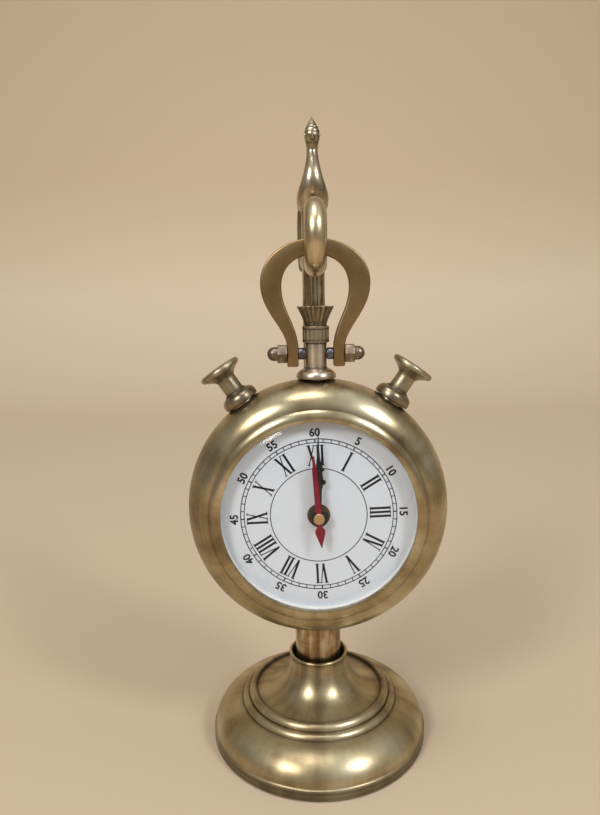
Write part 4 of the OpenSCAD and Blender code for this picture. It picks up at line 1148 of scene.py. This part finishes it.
bm = bmesh.new()
# painted shade at the throat under the head, low on the body where the ring touches it, and over the whole
# train
oval(bm, "body", 40, 5, 0, crestCarve, [(33.6, 1.4, 0.75), (3, 3.2, 0.6)])
oval(bm, "train", 72, 6, 0, trainCarve, [(-12, 60, 0.62)])
oval(bm, "beak", 20, 4)
eyeSide, eyeForward, eyeRise = bird["eye"]
for word, side in sides:
    oval(bm, "wing", 28, 6, side * bird["wingSide"], wingCarve)
    at = Matrix.Translation((side * eyeSide, eyeForward, birdFoot + eyeRise))
    bmesh.ops.create_uvsphere(bm, u_segments=16, v_segments=10, radius=bird["eyeSize"], matrix=at)
collarR = pole["radius"] + 0.4
stub = [(0, -6), (4.6, -6), (4.6, 0), (collarR, 0.1), (collarR, 2), (4.4, 4), (0, 4)]
turnProfile(bm, [(radius, birdFoot + rise) for radius, rise in stub], 48)
finish(bm, "bird", onStand, "stand", "cast_brass", ["bird"], angle=70)
print("bird made")


# a paper sweep, warm, with painted shade near the object; beyond is what the camera sees past its edges
room = {
    "near": (0.49, 0.39, 0.28), "middle": (0.88, 0.725, 0.555), "far": (0.80, 0.64, 0.465),
    "beyond": (0.62, 0.475, 0.335), "size": 4.0, "depth": 1.6, "bend": 0.6,
}


# painted shade: the paper is darker near the lamps and lighter far from them, to even out how the lamps light
# it
def plainPaper(name, near, middle, far):
    material, tree, shader = newMaterial(name)
    parts = tree.nodes.new("ShaderNodeSeparateXYZ")
    tree.links.new(tree.nodes.new("ShaderNodeTexCoord").outputs["Object"], parts.inputs[0])
    away = spread(tree, mathOf(tree, "ADD", parts.outputs["Y"], parts.outputs["Z"]), 0, 2.2, 0, 1)
    colour = rampOf(tree, away, [(0, near), (0.8, middle), (1, far)])
    fill(tree, shader, Base_Color=colour, Roughness=0.9, Specular_IOR_Level=0.1)
    return material


bm = bmesh.new()
half, bend, bendStart = room["size"], room["bend"], room["depth"] - room["bend"]
turns = [math.radians(a) for a in range(10, 91, 10)]
sweep = [(-half, 0), (bendStart, 0)]
sweep += [(bendStart + bend * math.sin(turn), bend - bend * math.cos(turn)) for turn in turns]
sweep += [(room["depth"], half)]
line = [bm.verts.new((-half, y, z)) for y, z in sweep]
grown = bmesh.ops.extrude_edge_only(bm, edges=[bm.edges.new(pair) for pair in zip(line, line[1:])])
bmesh.ops.translate(bm, vec=(2 * half, 0, 0), verts=pointsOf(grown))
bmesh.ops.recalc_face_normals(bm, faces=bm.faces)
mesh = meshFrom(bm, "paper")
mesh.shade_smooth()
paper = link("paper", mesh)
mesh.materials.append(plainPaper("paper", room["near"], room["middle"], room["far"]))

lamps = {
    "lampLeft": {"at": (-0.72, -0.95, 1.02), "size": 0.42, "power": 11, "colour": (1.0, 0.975, 0.94)},
    "lampRight": {"at": (0.80, -0.78, 1.0), "size": 0.3, "power": 8, "colour": (0.94, 0.975, 1.0)},
    "lampTop": {"at": (-0.12, -0.35, 1.5), "size": 0.5, "power": 5.5, "colour": (1.0, 1.0, 0.99)},
}
lampAim = Vector((0, -0.03, 0.16))
for name, lamp in lamps.items():
    light = bpy.data.lights.new(name, "AREA")
    light.shape = "DISK"
    light.size = lamp["size"]
    light.energy = lamp["power"]
    light.color = lamp["colour"]
    holder = link(name, light)
    holder.location = lamp["at"]
    holder.rotation_euler = (lampAim - Vector(lamp["at"])).to_track_quat("-Z", "Y").to_euler()

# a plain soft room, lighter overhead, with light that differs a little from side to side
world = bpy.data.worlds.new("room")
bpy.context.scene.world = world
world.use_nodes = True
tree = world.node_tree
backdrop = tree.nodes["Background"]
direction = tree.nodes.new("ShaderNodeTexCoord").outputs["Generated"]
parts = tree.nodes.new("ShaderNodeSeparateXYZ")
tree.links.new(direction, parts.inputs[0])
skyTones = [(0.0, (0.255, 0.245, 0.23)), (0.35, (0.36, 0.35, 0.33)), (0.9, (0.68, 0.67, 0.65))]
sky = rampOf(tree, parts.outputs["Z"], skyTones)
patches = spread(tree, noiseAt(tree, direction, 1.25, 2, 0.5), 0.36, 0.64, 0.62, 1.38)
seen = tree.nodes.new("ShaderNodeLightPath").outputs["Is Camera Ray"]
tone = mixColours(tree, seen, scaled(tree, sky, patches), room["beyond"])
fill(tree, backdrop, Color=tone, Strength=1)

# fitted to the photograph; angles in degrees, place in metres, focal in picture heights
view = {"focal": 640 / 815, "pitch": 9.6, "roll": -0.95, "place": (-0.0081, -0.3376, 0.2444)}
lens = bpy.data.cameras.new("camera")
lens.sensor_fit = "VERTICAL"
lens.sensor_height = 24
lens.lens = view["focal"] * lens.sensor_height
lens.clip_start = 0.01
camera = link("camera", lens)
camera.matrix_world = (
    Matrix.Translation(view["place"])
    @ Matrix.Rotation(math.radians(90 - view["pitch"]), 4, "X")
    @ Matrix.Rotation(math.radians(view["roll"]), 4, "Z")
)
bpy.context.scene.camera = camera
bpy.context.scene.view_settings.view_transform = "Standard"

print("scene ready")
